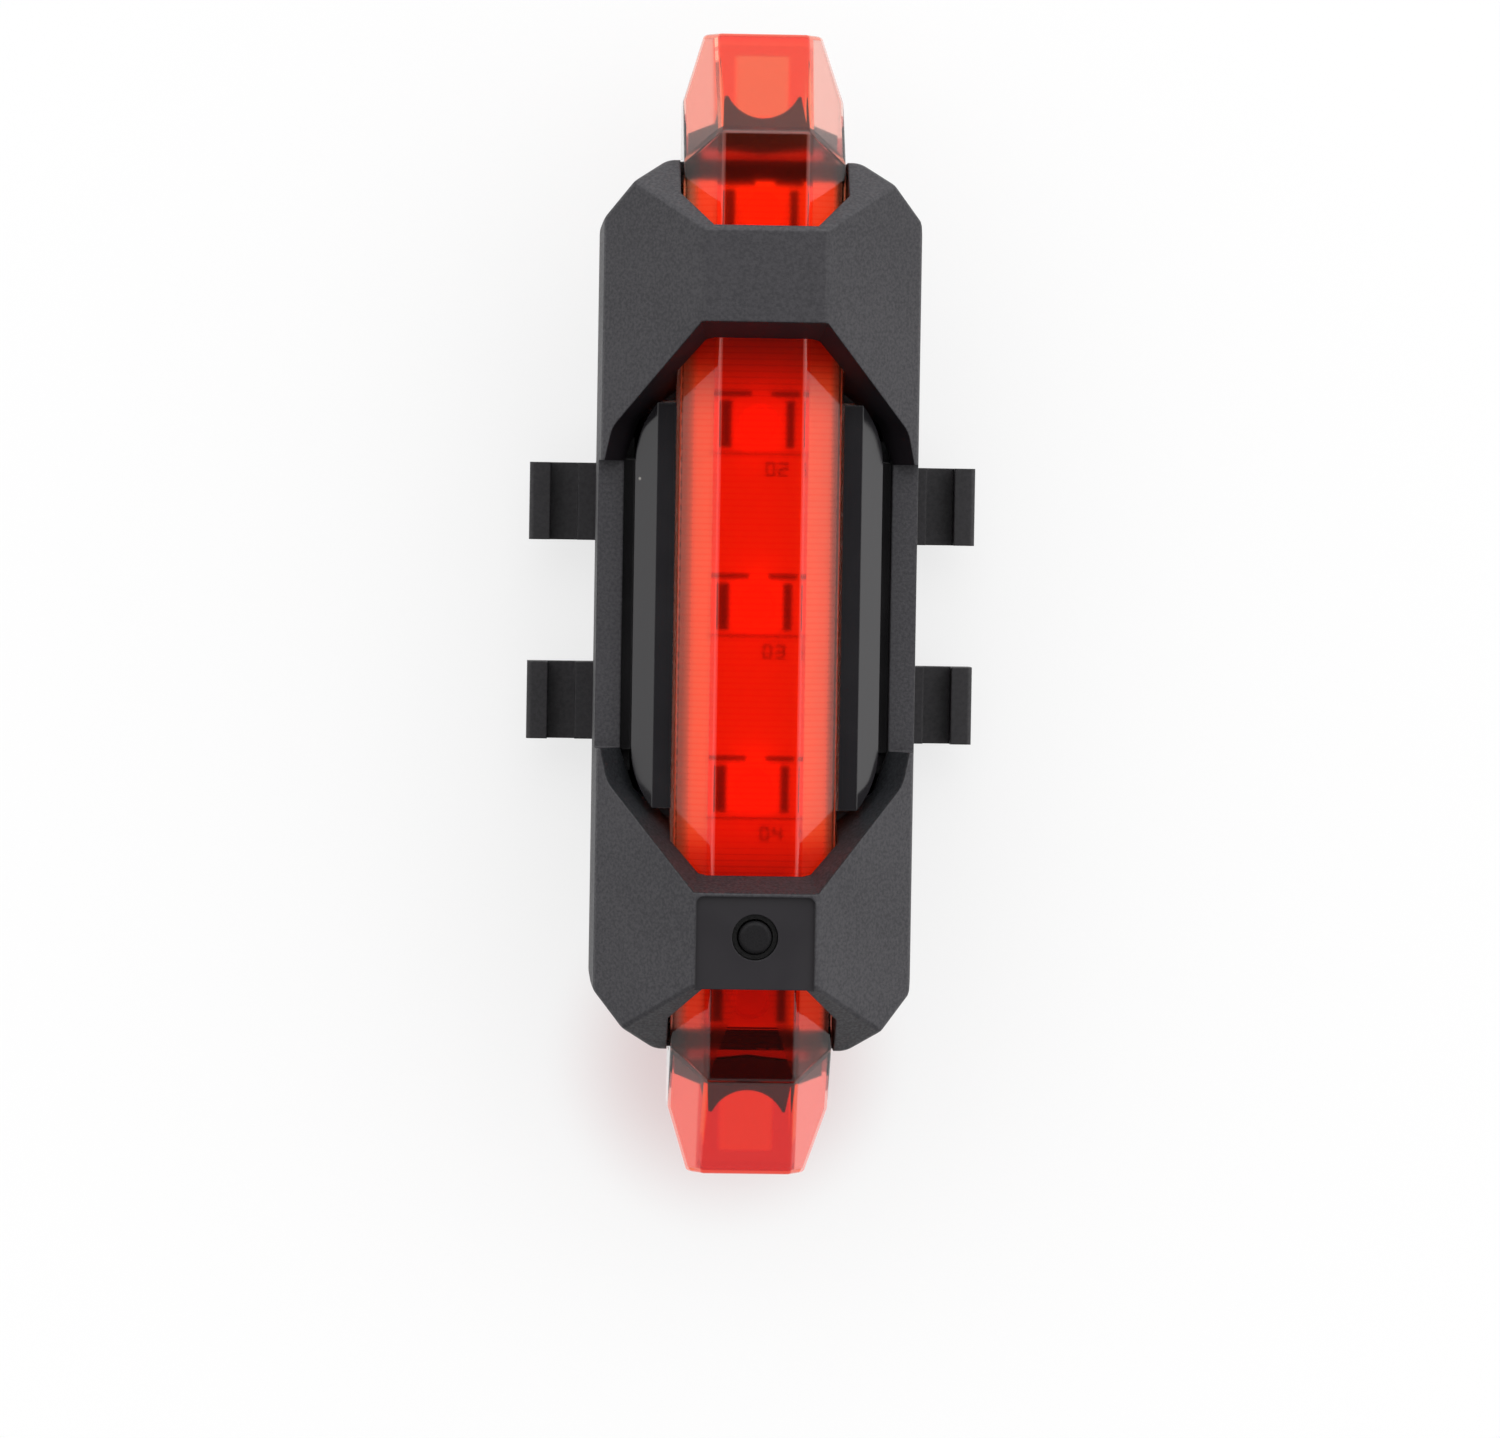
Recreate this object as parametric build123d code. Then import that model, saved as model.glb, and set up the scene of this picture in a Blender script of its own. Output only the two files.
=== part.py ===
from build123d import *
import math
import os

# A rechargeable bicycle tail light, lying on its back on a table.
# X runs across it, Y along it (the button end is at negative Y), Z points out of its face.
# The origin is under the middle of the light, on the surface it lies on. Sizes are in millimetres.

# Overall sizes of the housing
body_half_width = 10.6
body_half_length = 29.2
case_back = 7.6
part_line = 15.2
bridge_top = 24.5
corner_length = 4.1
corner_mid_length = 1.5
corner_mid_x = 8.5
corner_end_x = 6.3
corner_side_y = body_half_length - corner_length
corner_mid_y = body_half_length - corner_mid_length
corner_round = 1.6

# Front cover
cover_wall = 1.3
cover_edge_break = 0.15
cover_side_draft = 0.07
skirt_wall = 1.0
rail_top = 16.2
facet_edge = 17.8
bridge_half_width = 4.0
end_facet_length = 4.6
bridge_end = body_half_length - end_facet_length
bridge_foot_length = 13.15
window_diagonal_length = 3.9
window_side_length = 2.7
window_foot_end = body_half_length - bridge_foot_length
window_foot_corner_y = window_foot_end - window_diagonal_length
step_half_length = window_foot_corner_y - window_side_length
window_foot_corner_x = 7.9
window_foot_side_x = 8.85
window_end_tip_x = 3.2
end_draft = 0.30
side_draft = 0.62
window_round = 2.0
opening_reach = 1.3
opening_end = window_foot_corner_y + opening_reach
notch_half_width = 5.5
notch_tip_x = 3.4
notch_side_depth = 2.3
notch_depth = 4.4
notch_side_y = body_half_length - notch_side_depth
notch_end = body_half_length - notch_depth
panel_half_width = 3.88
panel_margin = 2.7
panel_start = window_foot_end + panel_margin
panel_depth = 0.35
panel_round = 0.5

# Lens
lens_half_width = 5.3
lens_facet = 2.8
lens_crown = 21.2
lens_shoulder = 19.3
lens_foot = 15.25
lens_wall = 1.5
lens_side_wall = 0.5
lens_gap = 0.2
lens_bend_reach = 1.8
lens_flank_bend = 0.3
lens_crease_flare = 0.15
lens_taper_reach = 4.0
lens_tip_reach = 8.6
lens_bend = body_half_length + lens_bend_reach
lens_taper_start = body_half_length + lens_taper_reach
lens_tip = body_half_length + lens_tip_reach
lens_tip_corner = 13.2
lens_tip_half_width = 3.9
nose_gap = 0.3
nose_start = body_half_length + nose_gap
nose_bottom = 9.9
nose_floor = 1.0
lens_edge_round = 0.4
pad_half_width = 1.9
pad_half_length = 2.2
pad_top_half_width = 1.6
pad_top_half_length = 1.95
pad_tip_space = 3.8
pad_rise = 1.3
rib_pitch = 0.8
rib_depth = 0.06
rib_margin = 1.95
rib_end = window_foot_end + rib_margin

# Bezel strips beside the lens
bezel_inner = 5.5
bezel_crease = 6.74
bezel_outer = 8.13
bezel_top = 18.6
bezel_shoulder = 17.6
bezel_end_gap = 0.15
bezel_round_length = 3.7
bezel_end = opening_end - bezel_end_gap
bezel_side_end = bezel_end - bezel_round_length
bezel_skin = 0.9
bezel_foot_reach = 0.8
bezel_foot_thick = 0.9
bezel_bulge = 0.62

# Circuit board and what it carries
board_top = 15.15
board_thick = 1.0
board_half_width = 7.0
board_end_space = 1.2
board_end_gap = 0.1
board_half_length = body_half_length - board_end_space
board_end_half_width = 4.6
board_neck_gap = 0.3
end_led_space = 3.3
window_led_inset = 0.12
end_led_y = body_half_length - end_led_space
window_led_y = window_foot_corner_y - window_led_inset
led_spots = [end_led_y, window_led_y, 0, -window_led_y, -end_led_y]
led_width = 3.3
led_length = 3.3
led_height = 1.4
led_bowl_radius = 1.3
led_bowl_depth = 0.25
led_chamfer = 0.25
chip_size = (4.0, 3.9, 1.2)
chip_space = 8.7
chip_spot = body_half_length - chip_space
charge_chip_size = (2.9, 1.6, 1.0)
charge_chip_x = -2.6
small_part_size = (0.8, 1.6, 0.55)
chip_skin = 0.6
chip_pin_pitch = 0.95
chip_pin_width = 0.4
chip_pin_thick = 0.35
chip_pin_reach = 0.7
chip_lift = 0.1
resistor_x = 6.25
resistor_space = 7.2
end_resistor_y = body_half_length - resistor_space
resistor_spots = [end_resistor_y, window_led_y, 0, -window_led_y, -end_resistor_y]
capacitor_x = 3.2
capacitor_pitch = 3.0
indicator_x = 2.9
indicator_from_button = 2.8

# Button and switch
button_space = 7.8
button_y = button_space - body_half_length
button_radius = 1.08
button_top = 24.45
button_dome = 0.3
button_flange_radius = 1.6
button_flange_top = 22.4
button_flange_thick = 0.5
button_travel = 0.35
stem_radius = 0.8
stem_hole_radius = 1.25
seal_radius = 1.5
seal_lip_top = 23.5
seal_flange_radius = 2.0
seal_flange_thick = 0.3
button_gap = 0.08
switch_width = 3.2
switch_length = 3.0
switch_height = 1.5
switch_chamfer = 0.3
plunger_radius = 0.6
plunger_rise = 0.4
plunger_sunk = 0.45
plunger_gap = 0.05

# Charging socket and its rubber plug, in the wall at positive X
port_space = 10.6
port_y = body_half_length - port_space
socket_width = 7.4
socket_height = 2.7
socket_front = 9.5
socket_depth = 5.2
socket_skin = 0.3
socket_round = 0.5
socket_inner_round = 0.3
socket_back_wall = 1.0
tongue_width = 5.4
tongue_thick = 0.65
tongue_back = 0.9
port_margin = 0.15
plug_half_length = 4.65
plug_thick = 0.62
plug_low = 10.75
plug_high = 14.6
plug_gap = 0.15
plug_lift = 0.02
stub_depth = 0.9
stub_clearance = 0.2
stub_round = 0.4
plug_round = 1.0
anchor_length = 1.5
anchor_pin_radius = 0.6
anchor_pin_depth = 0.7

# Battery
battery_width = 15.0
battery_thick = 3.0
battery_port_gap = 1.9
battery_back_space = 13.8
battery_front = port_y - socket_width / 2 - battery_port_gap
battery_back = battery_back_space - body_half_length
battery_length = battery_front - battery_back
battery_middle = (battery_front + battery_back) / 2
battery_corner = 1.2
battery_gap = 0.15
foam_thick = 0.45
foam_margin = 4.0
foam_half_width = 5.0
tab_width = 2.0
tab_thick = 0.2
tab_reach = 1.0
tab_spots = [-5.0, -1.6]
tab_height = 1.9

# Back case
case_wall = 1.5
case_floor = 1.5
case_edge_chamfer = 0.8
keel_half_width = 5.6
keel_top = 10.5
rib_thick = 0.8
battery_rib_y = 7.0
battery_rib_top = 12.8
ledge_gap = 0.05
board_ledge_space = 12.0
board_ledge_y = body_half_length - board_ledge_space
board_ledge_reach = 6.3
board_ledge_thick = 1.2
bezel_ledge_margin = 2.3
bezel_ledge_half_length = bezel_end - bezel_ledge_margin
bezel_ledge_thick = 0.8
tongue_half_width = 4.6
tongue_side_y = body_half_length + 1.7
tongue_shoulder_x = 2.85
tongue_shoulder_y = body_half_length + 2.4
tongue_horn_x = 2.5
tongue_end_y = body_half_length + 4.05
tongue_top = 14.0
tongue_notch_radius = 2.6
tongue_notch_depth = 1.45
tongue_lift = 0.2
tongue_slot_half_width = 3.7
tongue_slot_start = body_half_length + 0.25
tongue_slot_side_y = body_half_length + 1.05
tongue_slot_middle_y = body_half_length + 0.65
battery_stop_start = 1.0
gasket_width = 0.55
gasket_middle = 0.6
gasket_depth = 0.35
gasket_gap = 0.02

# Screws, driven from the back
screw_x = 6.9
screw_space = 4.5
screw_y = body_half_length - screw_space
screw_radius = 0.95
screw_hole_gap = 0.06
screw_head_radius = 1.55
screw_head_height = 1.0
screw_head_sink = 0.2
screw_length = 8.5
screw_slot_width = 0.4
screw_slot_depth = 0.4
case_boss_radius = 1.9
case_boss_top = 13.0
cover_boss_radius = 1.45
boss_gap = 0.05
boss_skin = 0.5
pilot_spare = 0.6

# Strap bracket and saddle pad
post_radius = 12.7
saddle_gap = 0.05
pad_thick = 0.8
pad_seat = 0.02
pad_lift = 0.5
bracket_foot = 0.95
saddle_half_width = 10.45
saddle_half_length = 12.0
bracket_side_top = 3.4
bracket_knee_x = 8.6
bracket_knee_z = 5.6
bracket_flat_x = 5.2
bracket_clearance = 0.25
head_half_width = 4.2
neck_half_width = 2.9
slide_gap = 0.15
lip_thick = 0.8
head_thick = 0.85
channel_gap = 0.3
keel_wall = 1.6
channel_front = saddle_half_length + channel_gap
keel_front = channel_front + keel_wall
hook_y = 6.7
hook_width = 5.2
hook_reach = 15.0
hook_lip = 1.4
hook_shoulder = 11.75
hook_bottom = 2.0
hook_floor = 3.9
hook_shoulder_top = 4.9
hook_lip_top = 5.4
hook_round = 0.3
hook_rise = 0.4
hook_root = 0.6

# Lengths for cuts and joins: past every face of the light, just past a face, and into a piece that it joins
far = 60.0
beyond = 1.0
bite = 0.1


# General shapes

def block(x_low, x_high, y_low, y_high, z_low, z_high):
    size = Box(x_high - x_low, y_high - y_low, z_high - z_low, align=(Align.MIN, Align.MIN, Align.MIN))
    return Pos(x_low, y_low, z_low) * size


def rod(x, y, z_low, z_high, radius):
    upright = (Align.CENTER, Align.CENTER, Align.MIN)
    return Pos(x, y, z_low) * Cylinder(radius, z_high - z_low, align=upright)


def prism(points, z_low, z_high):
    outline = make_face(Polyline(*points, close=True))
    return Pos(0, 0, z_low) * extrude(outline, amount=z_high - z_low)


def section_along_y(points, y_low, y_high):
    # points are (x, z) pairs of the section
    flat = [(x, y_low, z) for x, z in points]
    outline = make_face(Polyline(*flat, close=True))
    return extrude(outline, amount=y_high - y_low, dir=(0, 1, 0))


def trimmed(solid, point, normal, inset=0.0):
    # keeps what lies behind a plane that faces along the normal, moved inwards by the inset
    facing = Vector(*normal).normalized()
    place = Vector(*point) - facing * inset
    return split(solid, bisect_by=Plane(origin=place, z_dir=facing), keep=Keep.BOTTOM)


def mirrored_points(quarter):
    # closes an outline from its first-quadrant points, which run from the X side to the Y side
    upper_left = [(-x, y) for x, y in reversed(quarter)]
    lower_left = [(-x, -y) for x, y in quarter]
    lower_right = [(x, -y) for x, y in reversed(quarter)]
    return quarter + upper_left + lower_left + lower_right


# Forms that several pieces share

def body_face(inset):
    quarter = [
        (body_half_width, corner_side_y),
        (corner_mid_x, corner_mid_y),
        (corner_end_x, body_half_length),
    ]
    face = make_face(Polyline(*mirrored_points(quarter), close=True))
    face = fillet(face.vertices(), corner_round)
    if inset > 0:
        face = offset(face, amount=-inset, kind=Kind.INTERSECTION)
    return face


def body_prism(inset, z_low, z_high):
    return Pos(0, 0, z_low) * extrude(body_face(inset), amount=z_high - z_low)


def roof_trimmed(solid, inset):
    # the cover's two long side facets and two end facets
    side_drop = bridge_top - facet_edge
    side_run = body_half_width - bridge_half_width
    mid_height = bridge_top - (corner_mid_x - bridge_half_width) * side_drop / side_run
    end_drop = bridge_top - mid_height
    end_run = corner_mid_y - bridge_end
    for way in (1, -1):
        edge = (way * bridge_half_width, 0, bridge_top)
        solid = trimmed(solid, edge, (way * side_drop, 0, side_run), inset)
        edge = (0, way * bridge_end, bridge_top)
        solid = trimmed(solid, edge, (0, way * end_drop, end_run), inset)
    return solid


def cover_form(inset, z_low):
    solid = roof_trimmed(body_prism(inset, z_low, bridge_top - inset), inset)
    for way in (1, -1):
        solid = trimmed(solid, (way * body_half_width, 0, part_line), (way, 0, cover_side_draft), inset)
    return solid


def window_form(grow, z_low):
    # the window between the bridges, whose walls lean outwards as they rise
    solid = block(-far, far, -far, far, z_low, bridge_top + beyond)
    end_run = window_foot_end - window_foot_corner_y
    diagonal = Vector(end_run, window_foot_corner_x - window_end_tip_x, 0).normalized()
    side_run = window_foot_corner_y - step_half_length
    side = Vector(side_run, window_foot_side_x - window_foot_corner_x, 0).normalized()
    for y_way in (1, -1):
        solid = trimmed(solid, (0, y_way * window_foot_end, rail_top), (0, y_way, -end_draft), -grow)
        for x_way in (1, -1):
            corner = (x_way * window_foot_corner_x, y_way * window_foot_corner_y, rail_top)
            face = (x_way * diagonal.X, y_way * diagonal.Y, -end_draft)
            solid = trimmed(solid, corner, face, -grow)
            face = (x_way * side.X, y_way * side.Y, -side_draft)
            solid = trimmed(solid, corner, face, -grow)
    corners = [edge for edge in solid.edges() if is_window_corner(edge)]
    return fillet(corners, window_round)


def is_window_corner(edge):
    # the four rising edges where the diagonal walls of the window meet its side walls
    rises = edge.bounding_box().size.Z > beyond
    beside = window_foot_corner_x - beyond
    before = window_foot_end
    return rises and abs(edge.center().X) > beside and beyond < abs(edge.center().Y) < before


def notch_form(way, grow):
    # the mouth in the cover's end where the lens comes out
    points = [
        (-notch_half_width - grow, way * far),
        (-notch_half_width - grow, way * (notch_side_y - grow)),
        (-notch_tip_x - grow, way * (notch_end - grow)),
        (notch_tip_x + grow, way * (notch_end - grow)),
        (notch_half_width + grow, way * (notch_side_y - grow)),
        (notch_half_width + grow, way * far),
    ]
    return prism(points, part_line - beyond, bridge_top + beyond)


def lens_outline(inset):
    # the upright sides, tapers and tips of the lens, moved inwards by the inset
    solid = block(-far, far, -far, far, 0, lens_crown)
    taper = lens_half_width - lens_tip_half_width
    taper_run = lens_tip - lens_taper_start
    for x_way in (1, -1):
        solid = trimmed(solid, (x_way * lens_half_width, 0, 0), (x_way, 0, 0), inset)
    for y_way in (1, -1):
        solid = trimmed(solid, (0, y_way * lens_tip, 0), (0, y_way, 0), inset)
        for x_way in (1, -1):
            corner = (x_way * lens_half_width, y_way * lens_taper_start, 0)
            solid = trimmed(solid, corner, (x_way * taper_run, y_way * taper, 0), inset)
    return solid


def lens_roofed(solid, inset):
    # the top of the lens: a crown, two flanks, two falling noses and the four facets beside them
    fall = lens_crown - lens_tip_corner
    run = lens_tip - lens_bend
    bevel_drop = lens_crown - lens_shoulder
    bevel_run = lens_half_width - lens_facet
    flank_back = lens_bend_reach + lens_flank_bend
    solid = trimmed(solid, (0, 0, lens_crown), (0, 0, 1), inset)
    for x_way in (1, -1):
        face = (x_way * bevel_drop, 0, bevel_run)
        solid = trimmed(solid, (x_way * lens_facet, 0, lens_crown), face, inset)
    for y_way in (1, -1):
        solid = trimmed(solid, (0, y_way * lens_bend, lens_crown), (0, y_way * fall, run), inset)
        for x_way in (1, -1):
            bend_corner = (x_way * lens_facet, y_way * lens_bend, lens_crown)
            along_slope = Vector(x_way * lens_crease_flare, y_way * run, -fall)
            down_flank = Vector(x_way * bevel_run, -y_way * flank_back, -bevel_drop)
            face = down_flank.cross(along_slope) * (x_way * y_way)
            solid = trimmed(solid, bend_corner, (face.X, face.Y, face.Z), inset)
    return solid


def lens_form(inset):
    # the whole outside of the lens as one faceted form, moved inwards by the inset
    return lens_roofed(lens_outline(inset), inset)


def lens_room(wall, side):
    # the room inside the lens, whose roof follows the outside straight below it
    return Pos(0, 0, -wall) * lens_roofed(lens_outline(side), 0)


def screw_spots():
    return [(x_way * screw_x, y_way * screw_y) for x_way in (1, -1) for y_way in (1, -1)]


# Housing

def make_front_cover():
    cover = cover_form(0, part_line)
    roof_edges = [edge for edge in cover.edges() if edge.center().Z > part_line + beyond / 2]
    cover = chamfer(roof_edges, cover_edge_break)
    cover -= window_form(0, rail_top)
    cover -= block(-far, far, -step_half_length, step_half_length, rail_top, bridge_top + beyond)
    hollow = cover_form(cover_wall, part_line)
    hollow -= window_form(skirt_wall, part_line - beyond)
    hollow -= block(-far, far, -step_half_length - skirt_wall, step_half_length + skirt_wall, 0, far)
    for way in (1, -1):
        hollow -= notch_form(way, skirt_wall)
    cover -= hollow
    for x, y in screw_spots():
        boss = rod(x, y, case_boss_top + boss_gap, bridge_top, cover_boss_radius)
        cover += roof_trimmed(boss, boss_skin)
    opening = [
        (window_foot_side_x, step_half_length),
        (window_foot_corner_x, window_foot_corner_y),
        (window_foot_corner_x - (opening_end - window_foot_corner_y) * opening_slope(), opening_end),
    ]
    cover -= prism(mirrored_points(opening), part_line - beyond, rail_top + beyond)
    for way in (1, -1):
        cover -= notch_form(way, 0)
    cover -= lens_form(-lens_gap)
    for x, y in screw_spots():
        tip = case_back + screw_head_sink + screw_length + pilot_spare
        cover -= rod(x, y, case_boss_top, tip, screw_radius + screw_hole_gap)
    panel = block(-panel_half_width, panel_half_width, -far, -panel_start, bridge_top - panel_depth, far)
    cover -= fillet(panel.edges().filter_by(Axis.Z), panel_round)
    cover -= rod(0, button_y, bridge_top - cover_wall - beyond, bridge_top + 1, seal_radius)
    return cover


def opening_slope():
    # how fast the foot of the diagonal wall runs inwards as it runs along the light
    return (window_foot_corner_x - window_end_tip_x) / (window_foot_end - window_foot_corner_y)


def make_lens():
    lens = lens_form(0)
    outer_edges = [edge for edge in lens.edges() if edge.center().Z > beyond]
    lens = fillet(outer_edges, lens_edge_round)
    lens -= block(-far, far, -nose_start, nose_start, 0, lens_foot)
    lens -= block(-far, far, -far, far, 0, nose_bottom)
    lens -= lens_hollow(lens_wall)
    grooves = Part()
    count = int(rib_end / rib_pitch)
    for step in range(-count, count + 1):
        middle = step * rib_pitch
        grooves += block(-far, far, middle - rib_pitch / 4, middle + rib_pitch / 4, lens_foot + beyond, far)
    lens -= grooves & lens_hollow(lens_wall - rib_depth)
    for way in (1, -1):
        lens += nose_pad(way)
    lens -= rod(0, button_y, lens_foot, lens_crown + beyond, stem_hole_radius)
    return lens


def lens_hollow(wall):
    # the room inside the lens above the floors of its two noses
    room = lens_room(wall, lens_side_wall)
    for way in (1, -1):
        room -= block_y(-far, far, way, nose_start, far, -far, nose_bottom + nose_floor)
    return room


def nose_pad(way):
    # a raised square pad with sloping sides on the floor of the nose
    low = nose_bottom + nose_floor
    middle = way * (lens_tip - pad_tip_space)
    base = Rectangle(2 * pad_half_width, 2 * pad_half_length)
    top = Rectangle(2 * pad_top_half_width, 2 * pad_top_half_length)
    return loft([Pos(0, middle, low - bite) * base, Pos(0, middle, low + pad_rise) * top])


def make_bezel(way):
    # a moulded strip: a flat land by the lens, a face that slopes down outwards, and a foot under the rail
    skin = bezel_skin
    foot_top = part_line - ledge_gap
    foot_low = foot_top - bezel_foot_thick
    points = [
        (bezel_inner, bezel_top),
        (bezel_crease, bezel_top),
        (bezel_outer, bezel_shoulder),
        (bezel_outer, foot_top),
        (bezel_outer + bezel_foot_reach, foot_top),
        (bezel_outer + bezel_foot_reach, foot_low),
        (bezel_outer - skin, foot_low),
        (bezel_outer - skin, bezel_shoulder - skin / 3),
        (bezel_crease - skin / 3, bezel_top - skin),
        (bezel_inner, bezel_top - skin),
    ]
    strip = section_along_y([(way * x, z) for x, z in points], -bezel_end, bezel_end)
    outline = make_face(
        Polyline((bezel_inner - beyond, 0), (bezel_outer + bezel_foot_reach, 0))
        + Polyline((bezel_outer + bezel_foot_reach, 0), (bezel_outer + bezel_foot_reach, bezel_side_end))
        + Polyline((bezel_outer + bezel_foot_reach, bezel_side_end), (bezel_outer, bezel_side_end))
        + ThreePointArc((bezel_outer, bezel_side_end), bezel_round_middle(), (bezel_crease, bezel_end))
        + Polyline((bezel_crease, bezel_end), (bezel_inner - beyond, bezel_end))
        + Polyline((bezel_inner - beyond, bezel_end), (bezel_inner - beyond, 0))
    )
    half = extrude(outline, amount=far)
    keep = half + mirror(half, about=Plane.XZ)
    if way < 0:
        keep = mirror(keep, about=Plane.YZ)
    return strip & keep


def bezel_round_middle():
    chord_x = bezel_outer - bezel_crease
    chord_y = bezel_end - bezel_side_end
    return (bezel_crease + chord_x * bezel_bulge, bezel_side_end + chord_y * bezel_bulge)


def make_back_case():
    case = body_prism(0, case_back, part_line)
    case = chamfer(case.edges().group_by(Axis.Z)[0], case_edge_chamfer)
    hollow = body_prism(case_wall, case_back + case_floor, part_line + beyond)
    keel = block(-keel_half_width, keel_half_width, -far, keel_front, case_back, keel_top)
    hollow -= keel
    for x, y in screw_spots():
        hollow -= rod(x, y, case_back, case_boss_top, case_boss_radius)
    for way in (1, -1):
        near = board_half_length - board_thick
        side = board_end_half_width + board_end_gap
        shelf = board_bottom() - ledge_gap
        board_room = board_half_length + board_end_gap
        hollow -= block_y(-side, side, way, near, far, 0, shelf)
        hollow += block_y(-side, side, way, near, board_room, shelf, part_line + beyond)
    for x_low, x_high, y_low, y_high, top in inner_ribs():
        hollow -= block(x_low, x_high, y_low, y_high, case_back, top)
    for way in (1, -1):
        high = part_line - ledge_gap - bezel_foot_thick - ledge_gap
        inner = min(way * bezel_outer, way * far)
        outer = max(way * bezel_outer, way * far)
        reach = bezel_ledge_half_length
        hollow -= block(inner, outer, -reach, reach, high - bezel_ledge_thick, high)
    case -= hollow
    for way in (1, -1):
        case += case_tongue(way)
    case -= slide_channel()
    for x, y in screw_spots():
        case -= rod(x, y, case_back - beyond, case_boss_top + beyond, screw_radius + screw_hole_gap)
        head_room = screw_head_radius + screw_hole_gap
        case -= rod(x, y, case_back - beyond, case_back + screw_head_sink + screw_head_height, head_room)
    case -= port_opening()
    case -= gasket_ring(0)
    return case


def board_bottom():
    return board_top - board_thick


def block_y(x_low, x_high, way, near, out, z_low, z_high):
    # a block on the positive or negative Y side, between two distances from the middle
    y_low = min(way * near, way * out)
    y_high = max(way * near, way * out)
    return block(x_low, x_high, y_low, y_high, z_low, z_high)


def inner_ribs():
    ribs = []
    battery_side = battery_width / 2 + battery_gap
    for x_way in (1, -1):
        x_low = min(x_way * battery_side, x_way * far)
        x_high = max(x_way * battery_side, x_way * far)
        for y in (battery_rib_y, -battery_rib_y):
            ribs.append((x_low, x_high, y - rib_thick / 2, y + rib_thick / 2, battery_rib_top))
        x_low = min(x_way * board_ledge_reach, x_way * far)
        x_high = max(x_way * board_ledge_reach, x_way * far)
        top = board_bottom() - ledge_gap
        ribs.append((x_low, x_high, -board_ledge_y - board_ledge_thick, -board_ledge_y, top))
    top = board_bottom() - ledge_gap
    ribs.append((-far, -board_ledge_reach, board_ledge_y, board_ledge_y + board_ledge_thick, top))
    front = battery_middle + battery_length / 2 + battery_gap
    back = battery_middle - battery_length / 2 - battery_gap
    ribs.append((battery_stop_start, keel_half_width, front, front + rib_thick / 2, battery_rib_top))
    ribs.append((-keel_half_width, keel_half_width, back - rib_thick, back, battery_rib_top))
    return ribs


def case_tongue(way):
    # the end of the case that reaches into the nose of the lens: two horns, and a slot across its root
    low = nose_bottom + nose_floor + pad_rise + tongue_lift
    inner = board_half_length + board_end_gap
    outline = [
        (-tongue_half_width, way * inner),
        (-tongue_half_width, way * tongue_side_y),
        (-tongue_shoulder_x, way * tongue_shoulder_y),
        (-tongue_horn_x, way * tongue_end_y),
        (tongue_horn_x, way * tongue_end_y),
        (tongue_shoulder_x, way * tongue_shoulder_y),
        (tongue_half_width, way * tongue_side_y),
        (tongue_half_width, way * inner),
    ]
    slot = [
        (-tongue_slot_half_width, way * tongue_slot_start),
        (-tongue_slot_half_width, way * tongue_slot_side_y),
        (0, way * tongue_slot_middle_y),
        (tongue_slot_half_width, way * tongue_slot_side_y),
        (tongue_slot_half_width, way * tongue_slot_start),
    ]
    tongue = prism(outline, low, tongue_top) - prism(slot, low - beyond, tongue_top + beyond)
    notch_y = tongue_end_y - tongue_notch_depth + tongue_notch_radius
    tongue -= rod(0, way * notch_y, 0, far, tongue_notch_radius)
    return tongue & lens_room(lens_wall + lens_gap, lens_side_wall + lens_gap)


def slide_channel():
    neck = neck_half_width + slide_gap
    head = head_half_width + slide_gap
    head_low = case_back + lip_thick
    head_high = head_low + head_thick + slide_gap + slide_gap
    cut = block(-neck, neck, -far, channel_front, case_back - beyond, head_low + bite)
    cut += block(-head, head, -far, channel_front, head_low, head_high)
    return cut


def port_opening():
    width = socket_width / 2 + port_margin
    low = board_bottom() - socket_height - port_margin
    high = board_bottom() + port_margin
    hole = block(0, far, port_y - width, port_y + width, low, high)
    recess_y = port_y - plug_half_length - anchor_length - 2 * plug_gap
    recess_front = port_y + plug_half_length + plug_gap
    face = body_half_width - plug_thick
    hole += block(face, far, recess_y, recess_front, plug_low - plug_gap, plug_high + plug_gap)
    hole += anchor_pin(screw_hole_gap)
    return hole


def gasket_ring(gap):
    # the groove in the rim of the case, and with a gap the seal that lies in it
    outside = gasket_middle - gasket_width / 2 + gap
    inside = gasket_middle + gasket_width / 2 - gap
    low = part_line - gasket_depth + gap
    ring = body_prism(outside, low, part_line)
    return ring - body_prism(inside, low - beyond, part_line + beyond)


def make_case_gasket():
    return gasket_ring(gasket_gap)


def make_case_screws():
    screws = []
    low = case_back + screw_head_sink
    for x, y in screw_spots():
        screw = rod(x, y, low, low + screw_head_height - boss_gap, screw_head_radius)
        screw += rod(x, y, low, low + screw_length, screw_radius)
        for turn in (0, 90):
            slot = Box(2 * screw_radius, screw_slot_width, 2 * screw_slot_depth)
            screw -= Pos(x, y, low) * (Rot(0, 0, turn) * slot)
        screws.append(screw)
    return Compound(children=screws)


# Circuit board

def make_led_board():
    ends = board_half_length
    neck = screw_y - cover_boss_radius - board_neck_gap
    quarter = [
        (board_half_width, neck),
        (board_end_half_width, neck),
        (board_end_half_width, ends),
    ]
    return prism(mirrored_points(quarter), board_bottom(), board_top)


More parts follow.
